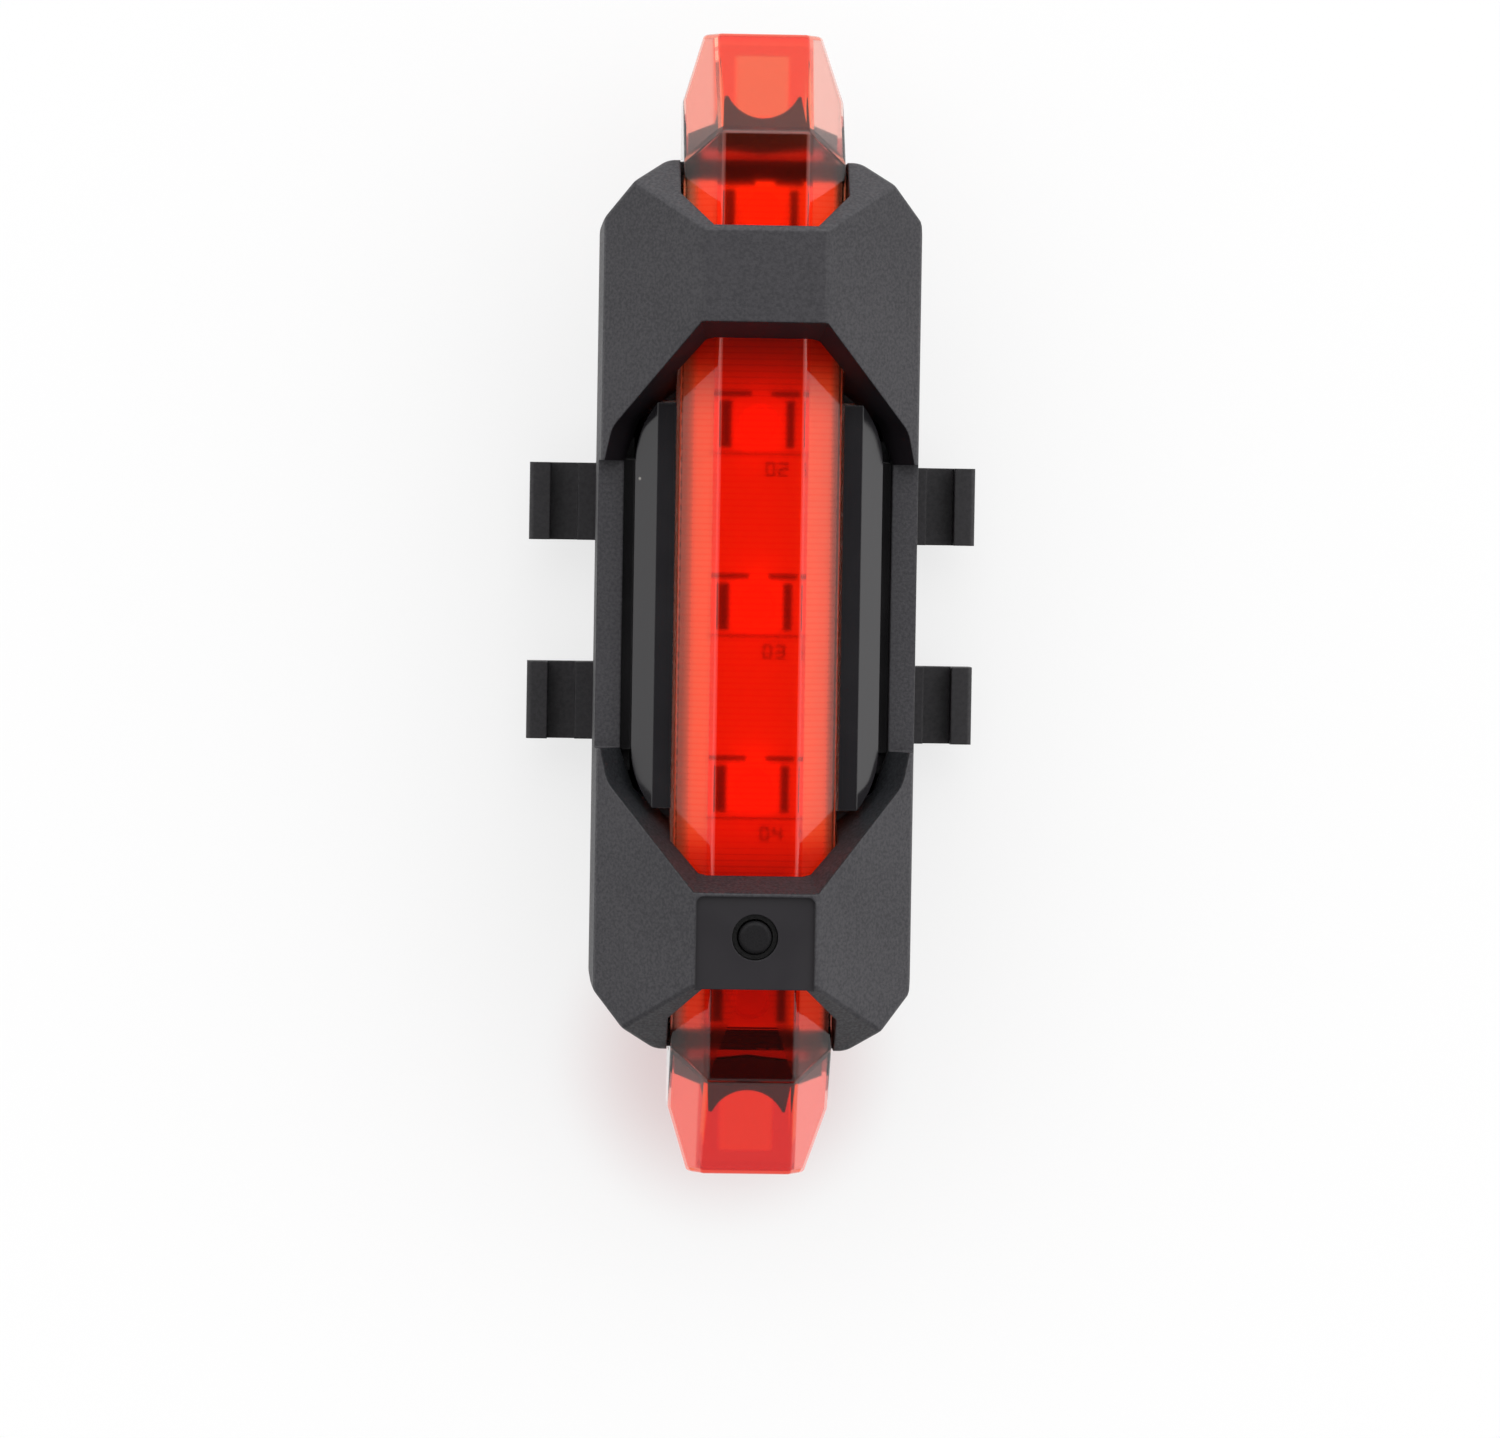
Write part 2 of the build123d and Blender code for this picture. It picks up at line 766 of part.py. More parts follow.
def make_led(y):
    size = Box(led_width, led_length, led_height, align=(Align.CENTER, Align.CENTER, Align.MIN))
    led = Pos(0, y, board_top) * chamfer(size.edges().filter_by(Axis.Z), led_chamfer)
    top = board_top + led_height
    bowl = Cone(led_bowl_radius - led_bowl_depth, led_bowl_radius, led_bowl_depth)
    return led - Pos(0, y, top - led_bowl_depth / 2) * bowl


def small_part(x, y, z_low):
    wide, long, high = small_part_size
    return block(x - wide / 2, x + wide / 2, y - long / 2, y + long / 2, z_low, z_low + high)


def make_resistors():
    parts = [small_part(-resistor_x, y, board_top) for y in resistor_spots]
    return Compound(children=parts)


def make_capacitors():
    high = small_part_size[2]
    spots = [button_y + step * capacitor_pitch for step in (-1, 0, 1)]
    parts = [small_part(capacitor_x, y, board_bottom() - high) for y in spots]
    return Compound(children=parts)


def make_mode_chip():
    wide, long, high = chip_size
    side = wide / 2 - chip_skin
    low = board_top + chip_lift
    body = block(-side, side, chip_spot - long / 2, chip_spot + long / 2, low, board_top + high)
    for x_way in (1, -1):
        for step in range(4):
            y = chip_spot + (step - 1.5) * chip_pin_pitch
            left = min(x_way * (wide / 2 - chip_pin_reach), x_way * wide / 2)
            right = left + chip_pin_reach
            edge = chip_pin_width / 2
            top = board_top + chip_pin_thick
            body += block(left, right, y - edge, y + edge, board_top, top)
    return body


def make_charge_chip():
    wide, long, high = charge_chip_size
    x = charge_chip_x
    y = button_y
    top = board_bottom()
    body = block(x - wide / 2, x + wide / 2, y - long / 2, y + long / 2, top - high, top - chip_lift)
    for y_way in (1, -1):
        near = y + y_way * long / 2 - chip_pin_reach / 2
        out = near + chip_pin_reach
        for step in (-1, 0, 1):
            left = x + step * chip_pin_pitch - chip_pin_width / 2
            body += block(left, left + chip_pin_width, near, out, top - chip_pin_thick, top)
    return body


def make_charge_indicator():
    return small_part(indicator_x, button_y + indicator_from_button, board_top)


# Button and switch

def make_mode_button():
    flange_low = button_flange_top - button_flange_thick
    body = rod(0, button_y, button_flange_top - bite, button_top, button_radius)
    body = fillet(body.edges().group_by(Axis.Z)[-1], button_dome)
    body += rod(0, button_y, flange_low, button_flange_top, button_flange_radius)
    body += rod(0, button_y, plunger_top(), flange_low + bite, stem_radius)
    return body


def plunger_top():
    return board_top + switch_height + plunger_rise


def make_button_seal():
    under = bridge_top - cover_wall
    seal = rod(0, button_y, under - seal_flange_thick, seal_lip_top, seal_radius - gasket_gap)
    seal += rod(0, button_y, under - seal_flange_thick, under - gasket_gap, seal_flange_radius)
    seal -= rod(0, button_y, under - beyond, seal_lip_top + beyond, button_radius + button_gap)
    return seal


def make_tact_switch():
    half_x = switch_width / 2
    half_y = switch_length / 2
    top = board_top + switch_height
    body = block(-half_x, half_x, button_y - half_y, button_y + half_y, board_top, top)
    body = chamfer(body.edges().filter_by(Axis.Z), switch_chamfer)
    well = top - plunger_sunk - button_travel - 2 * plunger_gap
    body -= rod(0, button_y, well, top + beyond, plunger_radius + plunger_gap)
    return body


def make_switch_plunger():
    top = board_top + switch_height
    return rod(0, button_y, top - plunger_sunk, plunger_top(), plunger_radius)


# Battery

def battery_low():
    return keel_top + battery_gap


def make_battery_cell():
    y_low = battery_middle - battery_length / 2
    y_high = battery_middle + battery_length / 2
    side = battery_width / 2
    cell = block(-side, side, y_low, y_high, battery_low(), battery_low() + battery_thick)
    return fillet(cell.edges().filter_by(Axis.Y), battery_corner)


def make_battery_foam():
    low = battery_low() + battery_thick
    half = battery_length / 2 - foam_margin
    y_low = battery_middle - half
    y_high = battery_middle + half
    return block(-foam_half_width, foam_half_width, y_low, y_high, low, low + foam_thick)


def make_battery_tab(x):
    left = x - tab_width / 2
    right = x + tab_width / 2
    start = battery_middle + battery_length / 2
    bend = start + tab_reach
    level = battery_low() + tab_height
    top = board_bottom()
    flat = block(left, right, start, bend, level, level + tab_thick)
    upright = block(left, right, bend - tab_thick, bend, level, top)
    foot = block(left, right, bend - tab_thick, bend + tab_reach, top - tab_thick, top)
    return flat + upright + foot


# Charging socket

def make_usb_socket():
    half = socket_width / 2
    low = board_bottom() - socket_height
    back = socket_front - socket_depth
    shell = block(back, socket_front, port_y - half, port_y + half, low, board_bottom())
    shell = fillet(shell.edges().filter_by(Axis.X), socket_round)
    half -= socket_skin
    low += socket_skin
    high = board_bottom() - socket_skin
    inside = block(back + socket_back_wall, far, port_y - half, port_y + half, low, high)
    return shell - fillet(inside.edges().filter_by(Axis.X), socket_inner_round)


def make_usb_tongue():
    middle = board_bottom() - socket_height / 2
    back = socket_front - socket_depth + socket_back_wall
    front = socket_front - tongue_back
    side = tongue_width / 2
    edge = tongue_thick / 2
    return block(back, front, port_y - side, port_y + side, middle - edge, middle + edge)


def make_usb_plug():
    face = body_half_width - plug_thick + plug_lift
    near = port_y - plug_half_length
    plug = block(face, body_half_width, near, port_y + plug_half_length, plug_low, plug_high)
    plug = fillet(plug.edges().filter_by(Axis.X).group_by(Axis.Y)[-1], plug_round)
    half = socket_width / 2 - socket_skin - stub_clearance
    low = board_bottom() - socket_height + socket_skin + stub_clearance
    high = board_bottom() - socket_skin - stub_clearance
    stub = block(face - stub_depth, face + bite, port_y - half, port_y + half, low, high)
    return plug + fillet(stub.edges().filter_by(Axis.X), stub_round)


def anchor_pin(gap):
    middle_y = port_y - plug_half_length - plug_gap - anchor_length / 2
    middle_z = (plug_low + plug_high) / 2
    start = body_half_width - plug_thick - anchor_pin_depth - gap
    length = anchor_pin_depth + gap + bite
    pin = Cylinder(anchor_pin_radius + gap, length, align=(Align.CENTER, Align.CENTER, Align.MIN))
    return Pos(start, middle_y, middle_z) * (Rot(0, 90, 0) * pin)


def make_plug_anchor():
    face = body_half_width - plug_thick + plug_lift
    end = port_y - plug_half_length - plug_gap
    plate = block(face, body_half_width, end - anchor_length, end, plug_low, plug_high)
    return plate + anchor_pin(0)


# Bracket

def saddle_bore():
    # the radius of the bracket's hollow, which the pad lines
    return post_radius + saddle_gap + pad_thick + pad_seat


def saddle_axis_height():
    chord = saddle_half_width - bracket_foot
    return -math.sqrt(saddle_bore() ** 2 - chord ** 2)


def long_round(radius, half_length):
    return Pos(0, 0, saddle_axis_height()) * (Rot(90, 0, 0) * Cylinder(radius, 2 * half_length))


def make_saddle_pad():
    bore = post_radius + saddle_gap
    pad = long_round(bore + pad_thick, saddle_half_length)
    pad = pad & block(-far, far, -far, far, pad_lift, far)
    return pad - long_round(bore, far)


def make_mount_bracket():
    plate_top = case_back - bracket_clearance
    half = [
        (saddle_half_width, 0),
        (saddle_half_width, bracket_side_top),
        (bracket_knee_x, bracket_knee_z),
        (bracket_flat_x, plate_top),
    ]
    points = half + [(-x, z) for x, z in reversed(half)]
    body = section_along_y(points, -saddle_half_length, saddle_half_length)
    head_low = case_back + lip_thick + slide_gap
    end = saddle_half_length
    body += block(-neck_half_width, neck_half_width, -end, end, plate_top - bite, head_low + bite)
    body += block(-head_half_width, head_half_width, -end, end, head_low, head_low + head_thick)
    for x_way in (1, -1):
        for y in (hook_y, -hook_y):
            body += strap_hook(x_way, y)
    return body - long_round(saddle_bore(), far)


def strap_hook(way, y):
    inner = saddle_half_width - hook_root
    points = [
        (inner, hook_bottom),
        (hook_reach, hook_bottom + hook_rise),
        (hook_reach, hook_lip_top),
        (hook_reach - hook_lip, hook_lip_top),
        (hook_reach - hook_lip, hook_floor),
        (hook_shoulder, hook_floor),
        (hook_shoulder, hook_shoulder_top),
        (saddle_half_width, hook_shoulder_top),
        (inner, bracket_side_top),
    ]
    hook = section_along_y([(way * x, z) for x, z in points], y - hook_width / 2, y + hook_width / 2)
    tip = hook.edges().filter_by(Axis.Y).group_by(Axis.X)[-1 if way > 0 else 0]
    return fillet(tip, hook_round)


# Every piece by its name

pieces = {
    "front_cover": make_front_cover(),
    "back_case": make_back_case(),
    "lens": make_lens(),
    "bezel_left": make_bezel(-1),
    "bezel_right": make_bezel(1),
    "mode_button": make_mode_button(),
    "button_seal": make_button_seal(),
    "tact_switch": make_tact_switch(),
    "switch_plunger": make_switch_plunger(),
    "led_board": make_led_board(),
    "current_resistors": make_resistors(),
    "capacitors": make_capacitors(),
    "mode_chip": make_mode_chip(),
    "charge_chip": make_charge_chip(),
    "charge_indicator": make_charge_indicator(),
    "usb_socket": make_usb_socket(),
    "usb_tongue": make_usb_tongue(),
    "usb_plug": make_usb_plug(),
    "plug_anchor": make_plug_anchor(),
    "battery_cell": make_battery_cell(),
    "battery_foam": make_battery_foam(),
    "battery_tab_positive": make_battery_tab(tab_spots[0]),
    "battery_tab_negative": make_battery_tab(tab_spots[1]),
    "case_gasket": make_case_gasket(),
    "case_screws": make_case_screws(),
    "mount_bracket": make_mount_bracket(),
    "saddle_pad": make_saddle_pad(),
}
for number, spot in enumerate(led_spots, start=1):
    pieces[f"led_{number}"] = make_led(spot)

os.makedirs("parts", exist_ok=True)
for name, piece in pieces.items():
    export_step(piece, f"parts/{name}.step")
    print(name, round(piece.volume, 2), "mm3")
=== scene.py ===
import math

import bpy
from mathutils import Matrix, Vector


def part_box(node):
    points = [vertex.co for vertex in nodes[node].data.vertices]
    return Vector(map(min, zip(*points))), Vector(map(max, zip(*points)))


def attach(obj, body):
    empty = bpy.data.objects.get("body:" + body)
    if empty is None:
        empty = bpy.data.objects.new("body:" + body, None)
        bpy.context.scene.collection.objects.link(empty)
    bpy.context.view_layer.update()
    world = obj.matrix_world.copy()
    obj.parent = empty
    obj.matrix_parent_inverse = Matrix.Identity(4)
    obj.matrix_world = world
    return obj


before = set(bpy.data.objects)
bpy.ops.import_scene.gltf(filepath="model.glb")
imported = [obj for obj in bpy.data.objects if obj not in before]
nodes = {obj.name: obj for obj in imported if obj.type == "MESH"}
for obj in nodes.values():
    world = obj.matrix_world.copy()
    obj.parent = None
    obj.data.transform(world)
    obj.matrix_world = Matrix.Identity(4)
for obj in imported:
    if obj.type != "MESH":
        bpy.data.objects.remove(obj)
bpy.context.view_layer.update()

mm = 0.001


# Front cover
# One charcoal ABS moulding, spark-eroded to a fine matte grain, with two bridges across the lens
# and four screws from the back. The window's walls are satin and near-black at the far end, painted
# shade where they face away from the light, and at the near end, where the button is, grained like
# the cover in darker tones, painted shade in the recess. The panel round the button is satin.
def shader(name, color, roughness):
    material = bpy.data.materials.new(name)
    material.use_nodes = True
    surface = material.node_tree.nodes["Principled BSDF"]
    surface.inputs["Base Color"].default_value = (*color, 1)
    surface.inputs["Roughness"].default_value = roughness
    return material, material.node_tree, surface


def finish_group(name, numbers, colors, results):
    # a shared finish: its named numbers and colours go in, its results come out
    group = bpy.data.node_groups.new(name, "ShaderNodeTree")
    for label, value in numbers.items():
        socket = group.interface.new_socket(label, in_out="INPUT", socket_type="NodeSocketFloat")
        socket.default_value = value
    for label, color in colors.items():
        socket = group.interface.new_socket(label, in_out="INPUT", socket_type="NodeSocketColor")
        socket.default_value = (*color, 1)
    for label, kind in results.items():
        group.interface.new_socket(label, in_out="OUTPUT", socket_type=f"NodeSocket{kind}")
    given = group.nodes.new("NodeGroupInput")
    result = group.nodes.new("NodeGroupOutput")
    return group, given.outputs, result.inputs


def finish(tree, group, numbers, colors):
    # the shared finish in one material, with that material's own values
    node = tree.nodes.new("ShaderNodeGroup")
    node.node_tree = group
    for label, value in numbers.items():
        node.inputs[label].default_value = value
    for label, color in colors.items():
        node.inputs[label].default_value = (*color, 1)
    return node.outputs


def specks(tree, scale, detail=2.0, roughness=0.5, distortion=0.0):
    # cloudy specks that stay in place on the piece, at a fixed scale or at one that a group is given
    place = tree.nodes.new("ShaderNodeTexCoord")
    noise = tree.nodes.new("ShaderNodeTexNoise")
    noise.inputs["Detail"].default_value = detail
    noise.inputs["Roughness"].default_value = roughness
    noise.inputs["Distortion"].default_value = distortion
    tree.links.new(place.outputs["Object"], noise.inputs["Vector"])
    if isinstance(scale, float):
        noise.inputs["Scale"].default_value = scale
    else:
        tree.links.new(scale, noise.inputs["Scale"])
    return noise.outputs["Fac"]


def spread(tree, value, low, high, bottom, top):
    # low to high becomes bottom to top, each a number or the output of another node
    node = tree.nodes.new("ShaderNodeMapRange")
    ends = {"Value": value, "From Min": low, "From Max": high, "To Min": bottom, "To Max": top}
    for label, end in ends.items():
        if isinstance(end, (int, float)):
            node.inputs[label].default_value = end
        else:
            tree.links.new(end, node.inputs[label])
    return node.outputs["Result"]


def mixed(tree, factor, first, second):
    # each end is a colour or the output of another node
    node = tree.nodes.new("ShaderNodeMix")
    node.data_type = "RGBA"
    tree.links.new(factor, node.inputs["Factor"])
    for name, end in (("A", first), ("B", second)):
        if isinstance(end, tuple):
            node.inputs[name].default_value = (*end, 1)
        else:
            tree.links.new(end, node.inputs[name])
    return node.outputs["Result"]


def computed(tree, operation, *operands):
    # each operand is a number or the output of another node
    node = tree.nodes.new("ShaderNodeMath")
    node.operation = operation
    for place, operand in enumerate(operands):
        if isinstance(operand, (int, float)):
            node.inputs[place].default_value = operand
        else:
            tree.links.new(operand, node.inputs[place])
    return node.outputs["Value"]


def soft_edges(tree, radius):
    edge = tree.nodes.new("ShaderNodeBevel")
    edge.samples = 6
    edge.inputs["Radius"].default_value = radius
    return edge.outputs["Normal"]


pit_low = 0.36
pit_high = 0.64
pit_roughness = 0.62
peak_roughness = 0.5
grain_strength = 0.6
patch_scale = 140.0
patch_low = 0.3
patch_high = 0.7
patch_depth = 0.18


def spark_grain_group():
    group, given, result = finish_group(
        "spark_grain",
        {"Grain": 6000.0},
        {"Dark": (0.04, 0.04, 0.04), "Light": (0.06, 0.06, 0.06)},
        {"Color": "Color", "Height": "Float", "Roughness": "Float"},
    )
    pits = specks(group, given["Grain"], detail=3.0, roughness=0.6)
    patches = specks(group, patch_scale, detail=4.0)
    grain = spread(group, pits, pit_low, pit_high, 0.0, 1.0)
    cloud = spread(group, patches, patch_low, patch_high, -patch_depth, patch_depth)
    both = group.nodes.new("ShaderNodeMath")
    both.operation = "ADD"
    both.use_clamp = True
    group.links.new(grain, both.inputs[0])
    group.links.new(cloud, both.inputs[1])
    total = both.outputs["Value"]
    group.links.new(mixed(group, total, given["Dark"], given["Light"]), result["Color"])
    group.links.new(pits, result["Height"])
    group.links.new(spread(group, total, 0.0, 1.0, pit_roughness, peak_roughness), result["Roughness"])
    return group


spark_grain = spark_grain_group()


def sparked_plastic(name, dark, light, grain, depth, edge_radius, gloss=0.5):
    material, tree, surface = shader(name, light, peak_roughness)
    surface.inputs["Specular IOR Level"].default_value = gloss
    texture = finish(tree, spark_grain, {"Grain": grain}, {"Dark": dark, "Light": light})
    tree.links.new(texture["Color"], surface.inputs["Base Color"])
    tree.links.new(texture["Roughness"], surface.inputs["Roughness"])
    bump = tree.nodes.new("ShaderNodeBump")
    bump.inputs["Distance"].default_value = depth
    bump.inputs["Strength"].default_value = grain_strength
    tree.links.new(texture["Height"], bump.inputs["Height"])
    tree.links.new(soft_edges(tree, edge_radius), bump.inputs["Normal"])
    tree.links.new(bump.outputs["Normal"], surface.inputs["Normal"])
    return material


smear_scale = 180.0
smear_low = 0.35
smear_high = 0.7
dust_scale = 520.0
dust_core = 0.05
dust_rim = 0.09
dust_share = 0.1


def polish_marks_group():
    group, given, result = finish_group(
        "polish_marks",
        {"Clean": 0.1, "Hazy": 0.2},
        {"Plastic": (0.015, 0.015, 0.015), "Dust": (0.3, 0.3, 0.3)},
        {"Color": "Color", "Roughness": "Float"},
    )
    smears = specks(group, smear_scale, detail=5.0, distortion=0.6)
    haze = spread(group, smears, smear_low, smear_high, given["Clean"], given["Hazy"])
    group.links.new(haze, result["Roughness"])
    place = group.nodes.new("ShaderNodeTexCoord")
    cells = group.nodes.new("ShaderNodeTexVoronoi")
    cells.inputs["Scale"].default_value = dust_scale
    group.links.new(place.outputs["Object"], cells.inputs["Vector"])
    spots = spread(group, cells.outputs["Distance"], dust_core, dust_rim, 1.0, 0.0)
    draw = group.nodes.new("ShaderNodeSeparateColor")
    group.links.new(cells.outputs["Color"], draw.inputs["Color"])
    chosen = computed(group, "GREATER_THAN", draw.outputs["Red"], 1.0 - dust_share)
    few = computed(group, "MULTIPLY", spots, chosen)
    group.links.new(mixed(group, few, given["Plastic"], given["Dust"]), result["Color"])
    return group


polish_marks = polish_marks_group()


def polished_plastic(name, color, dust, clean, hazy, edge_radius, gloss=0.5):
    material, tree, surface = shader(name, color, clean)
    surface.inputs["Specular IOR Level"].default_value = gloss
    marks = finish(tree, polish_marks, {"Clean": clean, "Hazy": hazy}, {"Plastic": color, "Dust": dust})
    tree.links.new(marks["Color"], surface.inputs["Base Color"])
    tree.links.new(marks["Roughness"], surface.inputs["Roughness"])
    tree.links.new(soft_edges(tree, edge_radius), surface.inputs["Normal"])
    return material


def dress(name, *materials):
    node = nodes[name]
    node.data.materials.clear()
    for material in materials:
        node.data.materials.append(material)


cover_grain = 5000
cover_grain_depth = 0.03 * mm
cover_dark = (0.0175, 0.0165, 0.0205)
cover_light = (0.036, 0.034, 0.039)
cover_plastic = sparked_plastic(
    "cover_plastic", cover_dark, cover_light, cover_grain, cover_grain_depth, edge_radius=0.18 * mm
)
# painted shade: the far walls of the window are near-black, darker than the cover, where they face away
# from the light
far_wall_shade_black = (0.008, 0.006, 0.008)
wall_dust = (0.03, 0.03, 0.03)
window_satin = polished_plastic(
    "window_satin", far_wall_shade_black, wall_dust, clean=0.55, hazy=0.65, edge_radius=0.12 * mm, gloss=0.17
)
panel_black = (0.007, 0.005, 0.008)
panel_dust = (0.05, 0.05, 0.05)
panel_satin = polished_plastic(
    "panel_satin", panel_black, panel_dust, clean=0.42, hazy=0.52, edge_radius=0.1 * mm
)
# painted shade: the near walls of the window take the cover's grain in darker tones, for the shade in
# the recess
near_wall_shade_dark = (0.011, 0.012, 0.014)
near_wall_shade_light = (0.022, 0.023, 0.026)
near_wall = sparked_plastic(
    "low_wall", near_wall_shade_dark, near_wall_shade_light, cover_grain, cover_grain_depth,
    edge_radius=0.3 * mm, gloss=0.2,
)
dress("front_cover", cover_plastic, window_satin, panel_satin, near_wall)

window_reach = 19.0 * mm
window_foot = 16.0 * mm
panel_half_width = 3.9 * mm
panel_start = 18.6 * mm
panel_low = 24.0 * mm
panel_high = 24.4 * mm
wall_least_up = 0.05
wall_most_up = 0.8
panel_least_up = 0.9
for face in nodes["front_cover"].data.polygons:
    middle = face.center
    out = face.normal
    inward = out.x * middle.x + out.y * middle.y < 0
    slopes = wall_least_up < out.z < wall_most_up
    if inward and slopes and abs(middle.y) < window_reach and middle.z > window_foot:
        face.material_index = 1 if middle.y > 0 else 3
    if middle.y < -panel_start and abs(middle.x) < panel_half_width and out.z > panel_least_up:
        if panel_low < middle.z < panel_high:
            face.material_index = 2

# Back case
# The case is a second black ABS shell with a like grain. It holds the battery and the board,
# and its keel carries the slide of the bracket.
case_dark = (0.016, 0.015, 0.018)
case_light = (0.032, 0.031, 0.034)
case_plastic = sparked_plastic(
    "case_plastic", case_dark, case_light, grain=7000, depth=0.03 * mm, edge_radius=0.15 * mm
)
dress("back_case", case_plastic)

# Lens
# One long hollow moulding of clear red plastic, polished outside, with fine light-spreading
# ribs across its inner face. Its noses stand out past both bridges, each with a pad on its floor.
lens_crease = 2.8 * mm
lens_bend = 31.0 * mm
lens_tip = 37.8 * mm
crease_flare = 0.15 * mm
flank_start = lens_crease - 0.02 * mm
flank_full = lens_crease + 0.1 * mm
nose_start = 28.4 * mm
window_end_start = 14.0 * mm
window_end_full = 16.5 * mm
rim_start = 4.2 * mm
rim_full = 4.75 * mm
rim_shift = 0.12 * mm
tip_start = lens_tip - 0.6 * mm
tip_full = lens_tip - 0.5 * mm
half_blend = 1.0 * mm
glint_inset = 0.05 * mm
crease_glint_reach = 0.12 * mm
bend_glint_reach = 0.09 * mm
glint_level = 21.1 * mm
glint_level_reach = 0.7 * mm
glint_start = -24.0 * mm
glint_full = -21.0 * mm
pad_middle = 34.0 * mm
pad_half_width = 1.75 * mm
pad_half_length = 2.05 * mm
pad_level = 11.0 * mm
pad_reach = 1.4 * mm
root_middle = 30.1 * mm
root_reach = 0.8 * mm
root_level = 10.4 * mm
root_depth = 0.7 * mm
ribbed_reach = 28.0 * mm
ribbed_foot = 16.0 * mm
ribbed_most_up = -0.3
rib_pitch = 0.4 * mm
rib_line_share = 0.36
ripple_scale = 300.0
ripple_depth = 0.01 * mm
ripple_strength = 0.3

# the crown's red is the plastic's own; the other lens colours below hold painted light: the flanks'
# paler colours a painted reflection, the rim and root colours painted shade, each near-end colour a
# shaded copy of its far-end one and each left colour a shaded copy of its right one
crown_tint = (0.93, 0.06, 0.004)
window_flank_sheen = (1.0, 0.38, 0.21)
window_end_sheen = (0.94, 0.12, 0.05)
rim_shade = (0.36, 0.23, 0.19)
far_left_flank_light = (1.0, 0.53, 0.45)
far_right_flank_light = (1.0, 0.68, 0.62)
near_left_flank_light = (0.98, 0.36, 0.31)
near_right_flank_light = (1.0, 0.44, 0.40)
near_slope_shaded = (0.84, 0.03, 0.0)
far_slope_lit = (1.0, 0.19, 0.08)
near_tip_shaded = (0.84, 0.06, 0.03)
far_tip_lit = (1.0, 0.12, 0.06)
near_pad_shaded = (1.0, 0.47, 0.32)
far_pad_lit = (1.0, 0.62, 0.50)
near_root_shade = (0.30, 0.04, 0.04)
far_root_shade = (0.60, 0.07, 0.06)
rib_edge_shade = (0.55, 0.01, 0.0)
glint_red = (1.0, 0.30, 0.24)
glint_strength = 0.12
no_light = (0.0, 0.0, 0.0)


def sides(tree):
    # how far across, along and up a point is
    place = tree.nodes.new("ShaderNodeTexCoord")
    split = tree.nodes.new("ShaderNodeSeparateXYZ")
    tree.links.new(place.outputs["Object"], split.inputs["Vector"])
    return split.outputs["X"], split.outputs["Y"], split.outputs["Z"]


def near(tree, value, middle, reach):
    # 1 where the value is within reach of the middle
    return computed(tree, "COMPARE", value, middle, reach)


def faded(tree, value, low, high, top=1.0):
    # a soft step, from nothing at low to top at high
    node = tree.nodes.new("ShaderNodeMapRange")
    node.interpolation_type = "SMOOTHSTEP"
    node.inputs["From Min"].default_value = low
    node.inputs["From Max"].default_value = high
    node.inputs["To Max"].default_value = top
    tree.links.new(value, node.inputs["Value"])
    return node.outputs["Result"]


def lens_glint(group, along, aside, y, z):
    # painted highlight: faint emission along the crown's two creases and across its far bend, where its
    # rounded edge would catch light, and none toward the near nose
    beside_crown = near(group, aside, lens_crease - glint_inset, crease_glint_reach)
    within_crown = near(group, along, 0.0, lens_bend - glint_inset)
    beyond_crown = near(group, along, lens_bend - glint_inset, bend_glint_reach)
    inside_crown = near(group, aside, 0.0, lens_crease)
    creases = computed(group, "MULTIPLY", beside_crown, within_crown)
    bends = computed(group, "MULTIPLY", beyond_crown, inside_crown)
    edges = computed(group, "MAXIMUM", creases, bends)
    above = near(group, z, glint_level, glint_level_reach)
    off_near_nose = faded(group, y, glint_start, glint_full)
    lit = computed(group, "MULTIPLY", computed(group, "MULTIPLY", edges, above), off_near_nose)
    return mixed(group, lit, no_light, glint_red)


